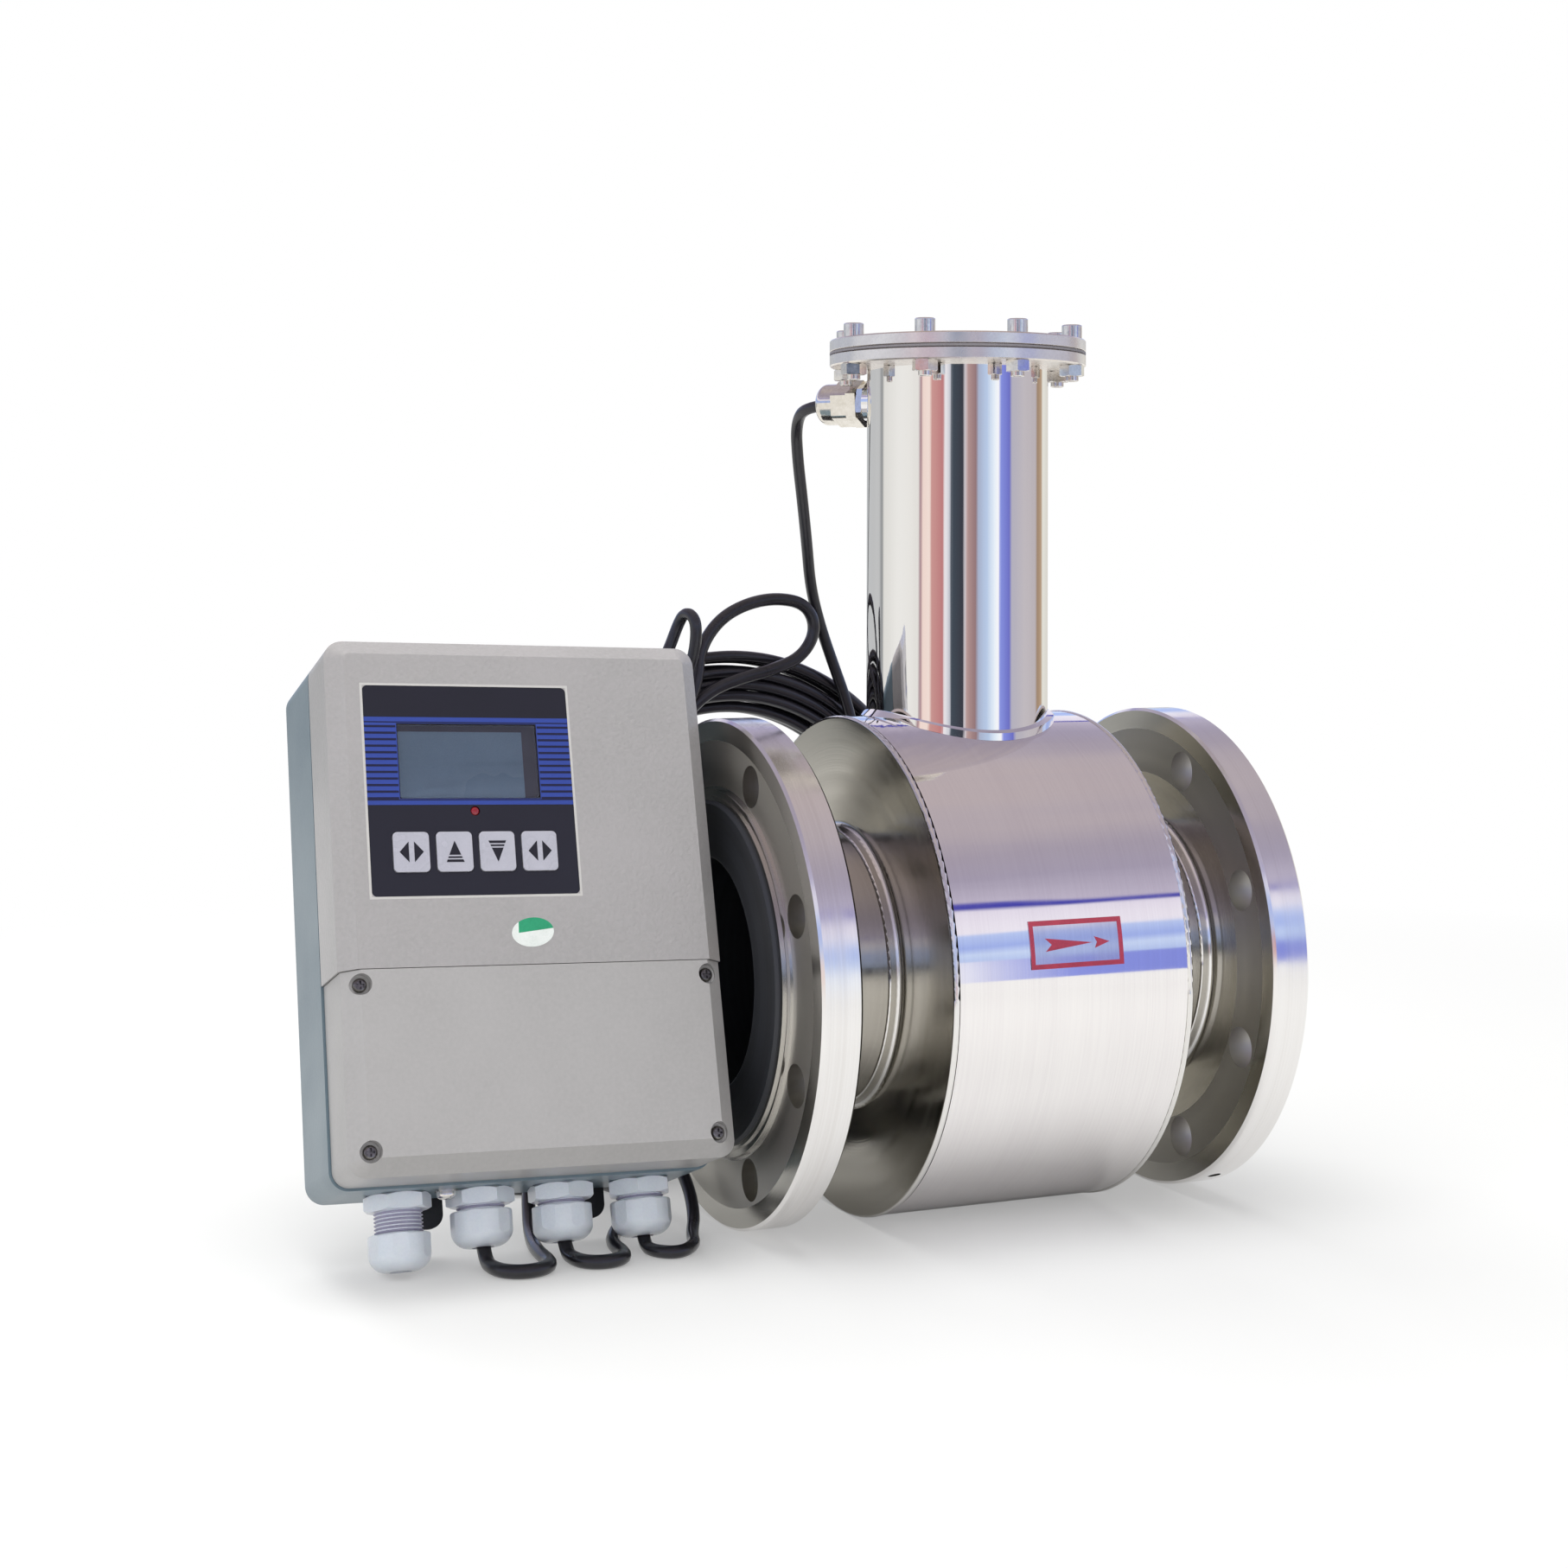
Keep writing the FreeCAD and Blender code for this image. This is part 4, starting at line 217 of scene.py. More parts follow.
@dataclass(frozen=True)
class Finish:
    """Surface finish: what the piece is made of and how its surface was made.

    Sizes of the pattern are millimetres. Roughness is a pair, for the smoothest and the roughest
    places. Coat is the weight and roughness of a clear coat. Face is a darker colour for the faces
    across the flow axis, where a turning tool left its rings; that darker colour is painted shade,
    and relief then stays on those faces. Drilled holds the radii between which a wall lies in a
    hole: it is rougher, and takes the face's darker colour as painted shade. Sockets holds further
    values of the shader, set on the shader itself.
    """

    name: str
    colour: str
    shade: str
    grain: Grain = Grain.EVEN
    pattern: Pattern = Pattern.NOISE
    size: float = 2.0
    relief: float = 0.0
    blotch: float = 30.0
    metallic: float = 0.0
    roughness: Flat = (0.4, 0.5)
    coat: tuple[float, ...] = ()
    # Darker colour for the faces across the flow axis and for drilled walls: painted shade
    face: str = ""
    drilled: Flat = (0.0, 0.0)
    sockets: tuple[tuple[str, float], ...] = ()

    def place(self, tree: Tree) -> Socket:
        """Give the coordinates that the pattern follows.

        Args:
            tree: the material's tree.

        Returns:
            The vector socket for the pattern's texture.
        """
        point = add_node(tree, "TexCoord").outputs["Object"]
        if self.grain is Grain.DRAWN:
            return add_node(tree, "Mapping", {
                "Vector": point, "Scale": (1.0, 1.0, DRAWN_STRETCH)}).outputs[0]
        if self.grain in (Grain.TURNED, Grain.ROLLED):
            around = add_node(tree, "Mapping", {
                "Vector": point, "Scale": (0.0, 1.0, 1.0)}).outputs[0]
            radius = add_node(tree, "VectorMath", {"operation": "LENGTH", 0: around})
            along = add_node(tree, "SeparateXYZ", {0: point})
            drift = 0.0 if self.grain is Grain.TURNED else ROLLED_DRIFT
            turn = compute(tree, "MULTIPLY", along.outputs["Z"], drift)
            return add_node(tree, "CombineXYZ", {
                "X": along.outputs["X"], "Y": radius.outputs["Value"], "Z": turn}).outputs[0]
        return point

    def turn_faces(self, tree: Tree, place: Socket, shader: Node, bump: Node) -> None:
        """Give the faces across the flow axis their darker colour, which is painted shade, and
        their rings; make the drilled holes rougher and give them that painted shade too.

        Args:
            tree: the material's tree.
            place: the coordinates that the pattern follows.
            shader: the shader, with its colour and roughness linked.
            bump: the relief.
        """
        colour, rough = (shader.inputs[name].links[0].from_socket
                         for name in ("Base Color", "Roughness"))
        normal = add_node(tree, "TexCoord").outputs["Normal"]
        across = add_node(tree, "SeparateXYZ", {0: normal}).outputs["X"]
        facing = rescale(tree, compute(tree, "ABSOLUTE", across), FACING_SPAN)
        inner, outer = self.drilled
        radius = add_node(tree, "SeparateXYZ", {0: place}).outputs["Y"]
        wall = compute(tree, "COMPARE", radius, (inner + outer) / 2 * MM, (outer - inner) / 2 * MM)
        # Faces across the flow axis and drilled walls take the darker colour: painted shade
        face_and_hole_painted_shade = compute(tree, "MAXIMUM", facing, wall)
        rings = add_node(tree, "Tangent", {"direction_type": "RADIAL", "axis": "X"})
        for node, socket, source in (
                (shader, "Base Color", blend(tree, face_and_hole_painted_shade, colour, linear(self.face))),
                (shader, "Roughness", compute(tree, "MULTIPLY_ADD", wall, WALL_ROUGHER, rough)),
                (shader, "Tangent", rings.outputs[0]), (bump, "Strength", facing)):
            tree.links.new(source, node.inputs[socket])

    def make(self) -> bpy.types.Material:
        """Build the material.

        Returns:
            The material, named after the finish.
        """
        material = bpy.data.materials.new(self.name)
        tree = bare_tree(material)
        place = self.place(tree)
        settings = {"Vector": place, "Scale": 1.0 / (self.size * MM)}
        if self.pattern is Pattern.NOISE:
            settings["Detail"] = NOISE_DETAIL
        if self.pattern is Pattern.LAYERS:
            settings.update({"Scale": LAYER_SCALE / (self.size * MM), "Distortion": LAYER_WAVE})
        grain = add_node(tree, self.pattern.value, settings)
        drawn = grain.outputs["Distance" if self.pattern is Pattern.CELLS else 0]
        blotch = add_node(tree, "TexNoise", {
            "Vector": place, "Scale": 1.0 / (self.blotch * MM)}).outputs[0]
        share = rescale(tree, compute(tree, "MULTIPLY", drawn, blotch), GRAIN_SPAN)
        shader = add_node(tree, "BsdfPrincipled", {
            "Base Color": blend(tree, share, linear(self.colour), linear(self.shade)),
            "Roughness": rescale(tree, blotch, BLOTCH_SPAN, self.roughness),
            "Metallic": self.metallic, **dict(zip(("Coat Weight", "Coat Roughness"), self.coat)),
            **dict(self.sockets)})
        bump = add_node(tree, "Bump", {"Distance": self.relief * MM, "Height": drawn})
        if self.relief:
            tree.links.new(bump.outputs[0], shader.inputs["Normal"])
        if self.face:
            self.turn_faces(tree, place, shader, bump)
        add_node(tree, "OutputMaterial", {"Surface": shader.outputs[0]})
        return material


# Stainless sheet rolled to a drum and polished along its turns: soft bright mirror
DRUM_STEEL = Finish(
    "drum_stainless_polished", "#F3F0EE", "#EDE9E8", Grain.ROLLED, size=0.7, relief=0.0012,
    blotch=26.0, metallic=1.0, roughness=(0.035, 0.07))
# Drawn stainless tube, mirror-polished: long faint lines and a hard clear reflection
NECK_STEEL = Finish(
    "neck_stainless_mirror", "#F3F1F0", "#ECEAE9", Grain.DRAWN, size=5.0, relief=0.04, blotch=16.0,
    metallic=1.0, roughness=(0.02, 0.045))
# Stainless turned on a lathe: rings that spread the light into a fan; the darker colour of its
# faces and bolt holes is painted shade
FACE_STEEL = Finish(
    "flange_stainless_turned", "#F1EFED", "#E9E6E3", Grain.TURNED, size=0.9, relief=0.012,
    blotch=9.0, metallic=1.0, roughness=(0.1, 0.2), face="#B9B6AE", drilled=(80.5, 100.5),
    sockets=(("Anisotropic", 0.7),))
# Turned stainless end plates: the darker colour of their faces is painted shade
PLATE_STEEL = Finish(
    "end_plate_stainless_turned", "#EFEDEA", "#E2DFDA", Grain.TURNED, size=0.8, relief=0.012,
    blotch=8.0, metallic=1.0, roughness=(0.12, 0.22), face="#AFABA1",
    sockets=(("Anisotropic", 0.7),))
LID_STEEL = Finish(
    "neck_plate_stainless_brushed", "#EFE8DF", "#E3DCD3", size=1.2, relief=0.004, blotch=12.0,
    metallic=1.0, roughness=(0.24, 0.32))
# Cold-headed stainless fasteners, a little duller than the tube
BOLT_STEEL = Finish(
    "bolt_stainless_headed", "#E6E2DD", "#D2CDC7", size=1.1, relief=0.003, blotch=4.0,
    metallic=1.0, roughness=(0.1, 0.2))
SCREW_ZINC = Finish(
    "cover_screw_zinc_plated", "#8A8782", "#5E5B57", size=0.7, relief=0.03, blotch=2.0,
    metallic=1.0, roughness=(0.25, 0.42))
GLAND_METAL = Finish(
    "gland_brass_nickelled", "#EAE5DC", "#D8D2C6", size=1.4, relief=0.004, blotch=6.0,
    metallic=1.0, roughness=(0.08, 0.16))
# Moulded natural rubber: nearly black, with a soft sheen on its rounded lips
LINER_RUBBER = Finish(
    "liner_rubber_moulded", "#1E1F22", "#2C2E33", Grain.TURNED, size=2.4, relief=0.03, blotch=14.0,
    roughness=(0.34, 0.5))
SEAL_RUBBER = Finish(
    "seal_rubber_moulded", "#2A2A2C", "#38383B", size=1.2, relief=0.02, roughness=(0.5, 0.65))
SEAL_SHEET = Finish(
    "seal_sheet_pressed", "#8A868A", "#7F7B80", size=0.8, relief=0.01, roughness=(0.45, 0.6))
# Self-adhesive metal foil of the flow label, as bright as the drum under it
LABEL_FOIL = Finish(
    "label_foil_bright", "#D9D6DE", "#CBC8D2", Grain.ROLLED, size=0.8, blotch=20.0, metallic=1.0,
    roughness=(0.1, 0.16))
LABEL_RED = Finish(
    "label_ink_red", "#B03248", "#9C2B42", size=1.0, blotch=8.0, roughness=(0.3, 0.4),
    coat=(0.4, 0.1))
# Copper wire wound in layers, lacquered
COPPER = Finish(
    "coil_copper_wound", "#A8562B", "#6E3318", Grain.BANDED, Pattern.LAYERS, size=0.9, relief=0.2,
    metallic=0.9, roughness=(0.25, 0.4))
SOFT_IRON = Finish(
    "yoke_soft_iron_rolled", "#6B6965", "#4E4C49", size=1.5, relief=0.02, metallic=1.0,
    roughness=(0.35, 0.5))
INSULATOR = Finish(
    "terminal_plastic_moulded", "#4E7A5C", "#45704F", size=0.8, relief=0.02, roughness=(0.4, 0.5))
BUSH_PLASTIC = Finish(
    "bush_plastic_turned", "#D8D4C8", "#C6C1B2", size=0.8, relief=0.01, roughness=(0.35, 0.45))
# Glass-fibre board under green solder mask; the cells stand for its pads and tracks
BOARD = Finish(
    "board_solder_mask_green", "#1D5B3C", "#2F7A50", pattern=Pattern.CELLS, size=3.0, relief=0.04,
    blotch=10.0, roughness=(0.3, 0.4), coat=(0.3,))
CORE_IRON = Finish(
    "transformer_core_laminated", "#5B5955", "#3C3A37", Grain.BANDED, Pattern.LAYERS, size=0.7,
    relief=0.1, metallic=0.8, roughness=(0.4, 0.5))
# Die-cast aluminium under grey powder paint: soft gloss over a fine orange peel
COVER_PAINT = Finish(
    "cover_powder_paint_warm_grey", "#ABA8A8", "#A3A1A0", size=1.7, relief=0.34, blotch=45.0,
    roughness=(0.34, 0.46), coat=(0.35, 0.14))
LOWER_PAINT = Finish(
    "terminal_cover_powder_paint", "#AFADAC", "#A8A6A5", size=1.6, relief=0.05, blotch=45.0,
    roughness=(0.38, 0.48), coat=(0.2, 0.25))
HOUSING_PAINT = Finish(
    "housing_powder_paint_blue_grey", "#6F818B", "#687A84", size=1.5, relief=0.05, blotch=45.0,
    roughness=(0.38, 0.48), coat=(0.2, 0.25))
# Cover paint drawn lighter in a strip round the panel's recess: a painted highlight on the recess's
# rim
RECESS_PAINTED_HIGHLIGHT = Finish(
    "recess_painted_highlight_powder_paint", "#CAC8C5", "#C2C0BD", size=1.2, relief=0.02, roughness=(0.34, 0.44))
# Polyester keypad foil, printed from behind: even satin colour
FOIL_BLACK = Finish(
    "keypad_foil_navy_black", "#191A23", "#15161E", size=0.5, relief=0.006, roughness=(0.3, 0.36),
    coat=(0.15,))
INK_BLUE = Finish(
    "keypad_ink_blue", "#31479A", "#2D4393", size=0.5, relief=0.004, blotch=20.0,
    roughness=(0.3, 0.36))
INK_NAVY = Finish(
    "keypad_ink_navy", "#16193A", "#131635", size=0.5, relief=0.004, blotch=20.0,
    roughness=(0.3, 0.36))
INK_BLACK = Finish(
    "key_ink_black", "#1B1A22", "#17161D", size=0.5, blotch=12.0, roughness=(0.35, 0.45))
# Dark strips on the display module: painted shade, a painted shadow under the recess's top and a
# painted dark wall down its right side
DISPLAY_PAINTED_SHADE = Finish(
    "display_painted_shade_dark", "#3A3946", "#33323E", size=0.6, blotch=12.0, roughness=(0.4, 0.5))
# Unlit liquid crystal behind glass: a flat grey-green blue
CRYSTAL = Finish(
    "display_liquid_crystal", "#8198AE", "#768DA3", size=0.4, blotch=28.0, roughness=(0.25, 0.3),
    coat=(0.5, 0.08))
PANE = Finish(
    "display_pane_acrylic", "#F4F8F8", "#EEF4F4", size=1.0, roughness=(0.02, 0.04),
    sockets=(("Transmission Weight", 1.0), ("IOR", 1.49)))
KEY_SILVER = Finish(
    "key_silver_painted", "#B9B9C4", "#B0B0BB", size=0.5, relief=0.006, blotch=9.0,
    roughness=(0.22, 0.3), coat=(0.7, 0.07))
LAMP_RED = Finish(
    "status_lamp_red_resin", "#8E1420", "#74101A", size=0.6, blotch=4.0, roughness=(0.12, 0.18),
    coat=(0.8,))
# Nylon glands: pale, slightly translucent grey with a moulded satin skin
GLAND_NYLON = Finish(
    "gland_nylon_moulded", "#F1F3FB", "#E9EBF5", size=0.9, relief=0.015, blotch=8.0,
    roughness=(0.28, 0.38), coat=(0.35,), sockets=(("Subsurface Weight", 0.12),))
# The glands' nylon drawn darker on the thread: painted shade in the grooves between hexagon and cap
GLAND_THREAD_PAINTED_SHADE = Finish(
    "gland_nylon_thread_painted_shade", "#A9A6BE", "#9896AF", size=0.9, relief=0.02, blotch=5.0,
    roughness=(0.34, 0.44))
BRACKET_PAINT = Finish(
    "bracket_steel_black_paint", "#232326", "#2D2D31", size=1.2, relief=0.05, blotch=18.0,
    roughness=(0.38, 0.5))
# Soft PVC jacket: black with a broad grey-violet sheen and faint drawing marks
CABLE_PVC = Finish(
    "cable_pvc_extruded", "#18171B", "#222127", size=3.0, relief=0.03, blotch=22.0,
    roughness=(0.26, 0.36), coat=(0.2,))
STICKER_WHITE = Finish(
    "sticker_paper_white", "#E9EDEA", "#DDE3DF", size=0.8, blotch=6.0, roughness=(0.35, 0.45))
STICKER_GREEN = Finish(
    "sticker_ink_green", "#2FA073", "#28946A", size=0.8, blotch=6.0, roughness=(0.3, 0.4))


@dataclass
class Workshop:
    """What every sub-assembly needs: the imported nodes, the materials and a list of new pieces."""

    nodes: dict[str, Piece]
    materials: dict[str, bpy.types.Material] = field(default_factory=dict)
    made: list[str] = field(default_factory=list)

    def material(self, finish: Finish) -> bpy.types.Material:
        """Give the material of a finish, made at its first use.

        Args:
            finish: the finish.

        Returns:
            Its material.
        """
        if finish.name not in self.materials:
            self.materials[finish.name] = finish.make()
        return self.materials[finish.name]

    def dress(self, finish: Finish, *names: str) -> None:
        """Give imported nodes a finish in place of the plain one.

        Args:
            finish: the finish.
            names: the nodes' names.
        """
        for name in names:
            mesh = self.nodes[name].data
            mesh.materials.clear()
            mesh.materials.append(self.material(finish))
            LOG.info("node %s: %s", name, finish.name)

    def finish_piece(self, mesh: Mesh, name: str, finish: Finish, slot: str, body: str = METER,
                     place: Optional[Matrix] = None, smooth: float = 35.0) -> Piece:
        """Turn a mesh in millimetres into a piece that rides on a body.

        Args:
            mesh: the mesh, which is freed.
            name: the piece's name.
            finish: its finish.
            slot: name of a material slot; not used.
            body: the body that it rides on.
            place: turn and shift into the meter's frame, in millimetres.
            smooth: faces that meet at less than this angle, in degrees, are shaded as one.

        Returns:
            The piece, whose object sits at the origin.
        """
        bmesh.ops.transform(mesh, matrix=Matrix.Scale(MM, 4) @ (place or Matrix.Identity(4)),
                            verts=mesh.verts)
        data = write_mesh(name, mesh)
        data.shade_smooth()
        data.set_sharp_from_angle(angle=math.radians(smooth))
        data.materials.append(self.material(finish))
        piece = put_in_scene(name, data)
        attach(piece, body)
        self.made.append(name)
        LOG.info("piece %s on %s: %s", name, body, finish.name)
        return piece


def ink(shapes: Iterable[Sequence[Flat]], level: float, height: float) -> Mesh:
    """Thin flat plates from outlines, such as printed shapes.

    Args:
        shapes: outlines as (x, y) corners in millimetres.
        level: height of the plates' underside.
        height: their thickness.

    Returns:
        The mesh of all plates.
    """
    mesh = bmesh.new()
    for shape in shapes:
        corners = [mesh.verts.new((x, y, level)) for x, y in shape]
        face = mesh.faces.new(corners)
        raised = bmesh.ops.extrude_face_region(mesh, geom=[face])["geom"]
        tops = [item for item in raised if isinstance(item, bmesh.types.BMVert)]
        bmesh.ops.translate(mesh, verts=tops, vec=(0, 0, height))
    bmesh.ops.recalc_face_normals(mesh, faces=mesh.faces)
    return mesh


def rectangle(left: float, right: float, bottom: float, top: float) -> list[Flat]:
    """Corners of an upright rectangle."""
    return [(left, bottom), (right, bottom), (right, top), (left, top)]


def frame_strips(left: float, right: float, bottom: float, top: float,
                 width: float) -> list[list[Flat]]:
    """Four strips that make a rectangular border of a given width."""
    return [rectangle(left, right, bottom, bottom + width),
            rectangle(left, right, top - width, top),
            rectangle(left, left + width, bottom + width, top - width),
            rectangle(right - width, right, bottom + width, top - width)]


def lathe(profile: Sequence[Flat], steps: int, axis: Vector, closed: bool = True,
          foot: Vector = Vector()) -> Mesh:
    """Turned shape from a profile.

    Args:
        profile: (along, radius) points in millimetres.
        steps: facets round the axis.
        axis: unit vector of the axis.
        closed: whether the profile's last point joins its first.
        foot: point on the axis that the profile is measured from.

    Returns:
        The mesh.
    """
    mesh = bmesh.new()
    side = axis.orthogonal().normalized()
    corners = [mesh.verts.new(foot + axis * along + side * radius) for along, radius in profile]
    edges = [mesh.edges.new(pair) for pair in zip(corners, corners[1:])]
    if closed:
        edges.append(mesh.edges.new((corners[-1], corners[0])))
    bmesh.ops.spin(mesh, geom=corners + edges, cent=foot, axis=axis, angle=math.tau, steps=steps,
                   use_merge=True)
    bmesh.ops.remove_doubles(mesh, verts=mesh.verts, dist=1e-4)
    bmesh.ops.recalc_face_normals(mesh, faces=mesh.faces)
    return mesh


def joined(meshes: Sequence[Mesh]) -> Mesh:
    """Put several meshes into the first one.

    Args:
        meshes: the meshes; all but the first are freed.

    Returns:
        The first mesh, with all the others in it.
    """
    whole = meshes[0]
    for mesh in meshes[1:]:
        carrier = write_mesh("carrier", mesh)
        whole.from_mesh(carrier)
        bpy.data.meshes.remove(carrier)
    return whole


@dataclass
class Sensor:
    """Flanged sensor: flow tube, liner, drum, neck and the flow label."""

    shop: Workshop
    label_radius: float = 109.8
    label_box: Box = (-21.0, 23.0, 10.5, 30.0)
    label_border: float = 2.0
    ink_height: float = 0.05
    arrow: tuple[Flat, ...] = ((-13.9, 22.9), (-10.9, 20.2), (-13.9, 17.5), (8.4, 20.2))
    arrow_head: tuple[Flat, ...] = ((9.4, 22.6), (10.6, 20.2), (9.4, 17.8), (16.6, 20.2))

    def build(self) -> None:
        """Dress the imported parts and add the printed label."""
        dress = self.shop.dress
        dress(FACE_STEEL, "inlet_flange", "outlet_flange", "measuring_tube")
        dress(PLATE_STEEL, "inlet_end_plate", "outlet_end_plate")
        dress(DRUM_STEEL, "housing_shell")
        dress(NECK_STEEL, "neck_tube")
        dress(LID_STEEL, "neck_flange", "neck_cover")
        dress(BOLT_STEEL, "cover_bolts", "cover_nuts", "electrodes", "electrode_nuts")
        dress(GLAND_METAL, "neck_gland_body", "neck_gland_locknut", "neck_gland_cap")
        dress(LINER_RUBBER, "rubber_liner")
        dress(SEAL_SHEET, "neck_gasket")
        dress(SEAL_RUBBER, "neck_gland_seal")
        dress(COPPER, "upper_coil", "lower_coil")
        dress(SOFT_IRON, "pole_shoes", "magnet_yoke")
        dress(BUSH_PLASTIC, "electrode_bushes")
        dress(BOARD, "terminal_board")
        dress(INSULATOR, "terminal_block")
        dress(LABEL_FOIL, "flow_label")
        self.print_label()

    def print_label(self) -> None:
        """Add the red border and the flow arrow, bent to the drum."""
        left, right, bottom, top = self.label_box
        shapes = frame_strips(left, right, bottom, top, self.label_border)
        shapes += [list(self.arrow), list(self.arrow_head)]
        mesh = ink(shapes, PRINT_GAP, self.ink_height)
        height = bottom
        while height < top:
            bmesh.ops.bisect_plane(mesh, geom=mesh.verts[:] + mesh.edges[:] + mesh.faces[:],
                                   plane_co=(0, height, 0), plane_no=(0, 1, 0))
            height += self.label_border / 2
        for vertex in mesh.verts:
            x, z, rise = vertex.co
            reach = self.label_radius + rise
            vertex.co = (x, -math.sqrt(reach * reach - z * z), z)
        bmesh.ops.recalc_face_normals(mesh, faces=mesh.faces)
        self.shop.finish_piece(mesh, "flow_label_print", LABEL_RED, "flow_label")


@dataclass
class Converter:
    """Converter box: covers, panel, glands and bracket, in the box's own frame."""

    shop: Workshop
    corner: Point = (-211.3, -34.7, 41.9884)
    lean: float = 19.77
    turn: float = -1.97
    foil_level: float = -0.2
    ink_height: float = 0.04
    band: Box = (-67.1, 19.9, 38.4, 75.5)
    window: Box = (-53.6, 6.0, 40.9, 72.9)
    recess: Box = (-68.1, 20.9, -0.4, 89.9)
    # Width of the lighter strip round the recess, which is a painted highlight
    recess_painted_highlight: float = 1.0
    first_stripe: float = 71.5
    stripe_pitch: float = 2.76
    stripe_count: int = 12
    stripe_height: float = 0.95
    # From the window to the ends of the dark lines, and to the lines over and under it
    stripe_gap: float = 0.3
    edge_gap: float = 0.2
    # Dark strips on the display module that paint the recess's shade: a painted shadow along the
    # top and a painted dark wall along the right side
    painted_shade: Box = (-53.0, 5.4, 41.5, 72.3)
    painted_shade_top: float = 2.4
    painted_shade_right: float = 5.4
    painted_shade_level: float = -3.29
    painted_shade_height: float = 0.08
    key_top: float = 0.6
    key_middle: float = 18.7
    key_xs: tuple[float, ...] = (-50.14, -32.16, -14.18, 3.8)
    gland_xs: tuple[float, ...] = (-48.2, -13.6, 21.0, 55.6)
    gland_depth: float = -58.0
    hex_end: float = -116.0
    cap_start: float = -118.0
    loose_travel: float = 7.2
    sleeve_radius: float = 9.2
    thread_pitch: float = 1.5
    thread_height: float = 0.75
    # How deep a turn stands in the sleeve, how far in from its pitch it starts, the shares of the
    # pitch between which its crest lies, and how far the last turn may reach under the cap
    thread_root: float = 0.2
    thread_start: float = 0.15
    thread_crest: Flat = (0.4, 0.6)
    thread_under: float = 0.6
    thread_steps: int = 40
    sticker_middle: Point = (-1.5, -15.0, 0.0)
    sticker_reach: Flat = (8.9, 6.0)
    sticker_tilt: float = 5.0
    sticker_height: float = 0.1
    sticker_corners: int = 48
    printed_corner: Flat = (-6.0, 0.3)
    printed_height: float = 0.03

    def place(self) -> Matrix:
        """Lean and turn the box to its place.

        Returns:
            Turn and shift from the box's frame to the meter's, in millimetres.
        """
        lean = Matrix.Rotation(math.radians(90 - self.lean), 4, "X")
        turn = Matrix.Rotation(math.radians(self.turn), 4, "Z")
        return Matrix.Translation(self.corner) @ lean @ turn

    def build(self) -> None:
        """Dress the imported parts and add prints, threads and the sticker."""
        dress = self.shop.dress
        dress(COVER_PAINT, "front_cover")
        dress(LOWER_PAINT, "terminal_cover")
        dress(HOUSING_PAINT, "back_housing")
        dress(SEAL_RUBBER, "box_gasket", "gland_seals")
        dress(SCREW_ZINC, "cover_screws", "bracket_screws")
        dress(BOLT_STEEL, "earth_screw", "earth_washer")
        dress(FOIL_BLACK, "keypad_overlay")
        dress(PANE, "display_window")
        dress(CRYSTAL, "display_module")
        dress(LAMP_RED, "status_lamp")
        dress(BOARD, "display_board", "main_board")
        dress(CORE_IRON, "transformer")
        dress(INSULATOR, "terminal_strip")
        dress(GLAND_NYLON, "gland_bodies", "gland_caps", "gland_locknuts")
        dress(BRACKET_PAINT, "mounting_bracket")
        dress(KEY_SILVER, "key_left", "key_up", "key_down", "key_right")
        self.print_panel()
        self.print_keys()
        self.cut_threads()
        self.stick_label()

    def print_panel(self) -> None:
        """Add the blue band with its dark lines, a lighter strip round the recess, which is a
        painted highlight, and dark strips on the display module, which are painted shade.
        """
        left, right, bottom, top = self.band
        win_left, win_right, win_bottom, win_top = self.window
        band = [rectangle(left, right, win_top, top), rectangle(left, right, bottom, win_bottom),
                rectangle(left, win_left, win_bottom, win_top),
                rectangle(win_right, right, win_bottom, win_top)]
        half = self.stripe_height / 2
        lines = []
        for index in range(self.stripe_count):
            middle = self.first_stripe - self.stripe_pitch * index
            low, high = middle - half, middle + half
            lines.append(rectangle(left, win_left - self.stripe_gap, low, high))
            lines.append(rectangle(win_right + self.stripe_gap, right, low, high))
        over, under = win_top + self.edge_gap, win_bottom - self.edge_gap
        lines += [rectangle(left, right, over, over + half),
                  rectangle(left, right, under - half, under)]
        # Painted shade on the display module: a painted shadow strip along the top and a painted
        # dark wall strip down the right side
        left, right, bottom, top = self.painted_shade
        inner = top - self.painted_shade_top
        painted_shade = [rectangle(left, right, inner, top),
                 rectangle(right - self.painted_shade_right, right, bottom, inner)]
        # The lighter strip round the recess is a painted highlight
        edge = frame_strips(*self.recess, self.recess_painted_highlight)
        level, height = self.foil_level + PRINT_GAP, self.ink_height
        for name, mesh, finish, slot in (
                ("panel_blue_band", ink(band, level, height), INK_BLUE, "panel_foil"),
                ("panel_recess_painted_highlight", ink(edge, PRINT_GAP, height), RECESS_PAINTED_HIGHLIGHT, "box_paint"),
                ("panel_dark_lines", ink(lines, level + height, height), INK_NAVY, "panel_foil"),
                ("display_painted_shade", ink(painted_shade, self.painted_shade_level, self.painted_shade_height), DISPLAY_PAINTED_SHADE,
                 "display_glass")):
            self.shop.finish_piece(mesh, name, finish, slot, place=self.place())

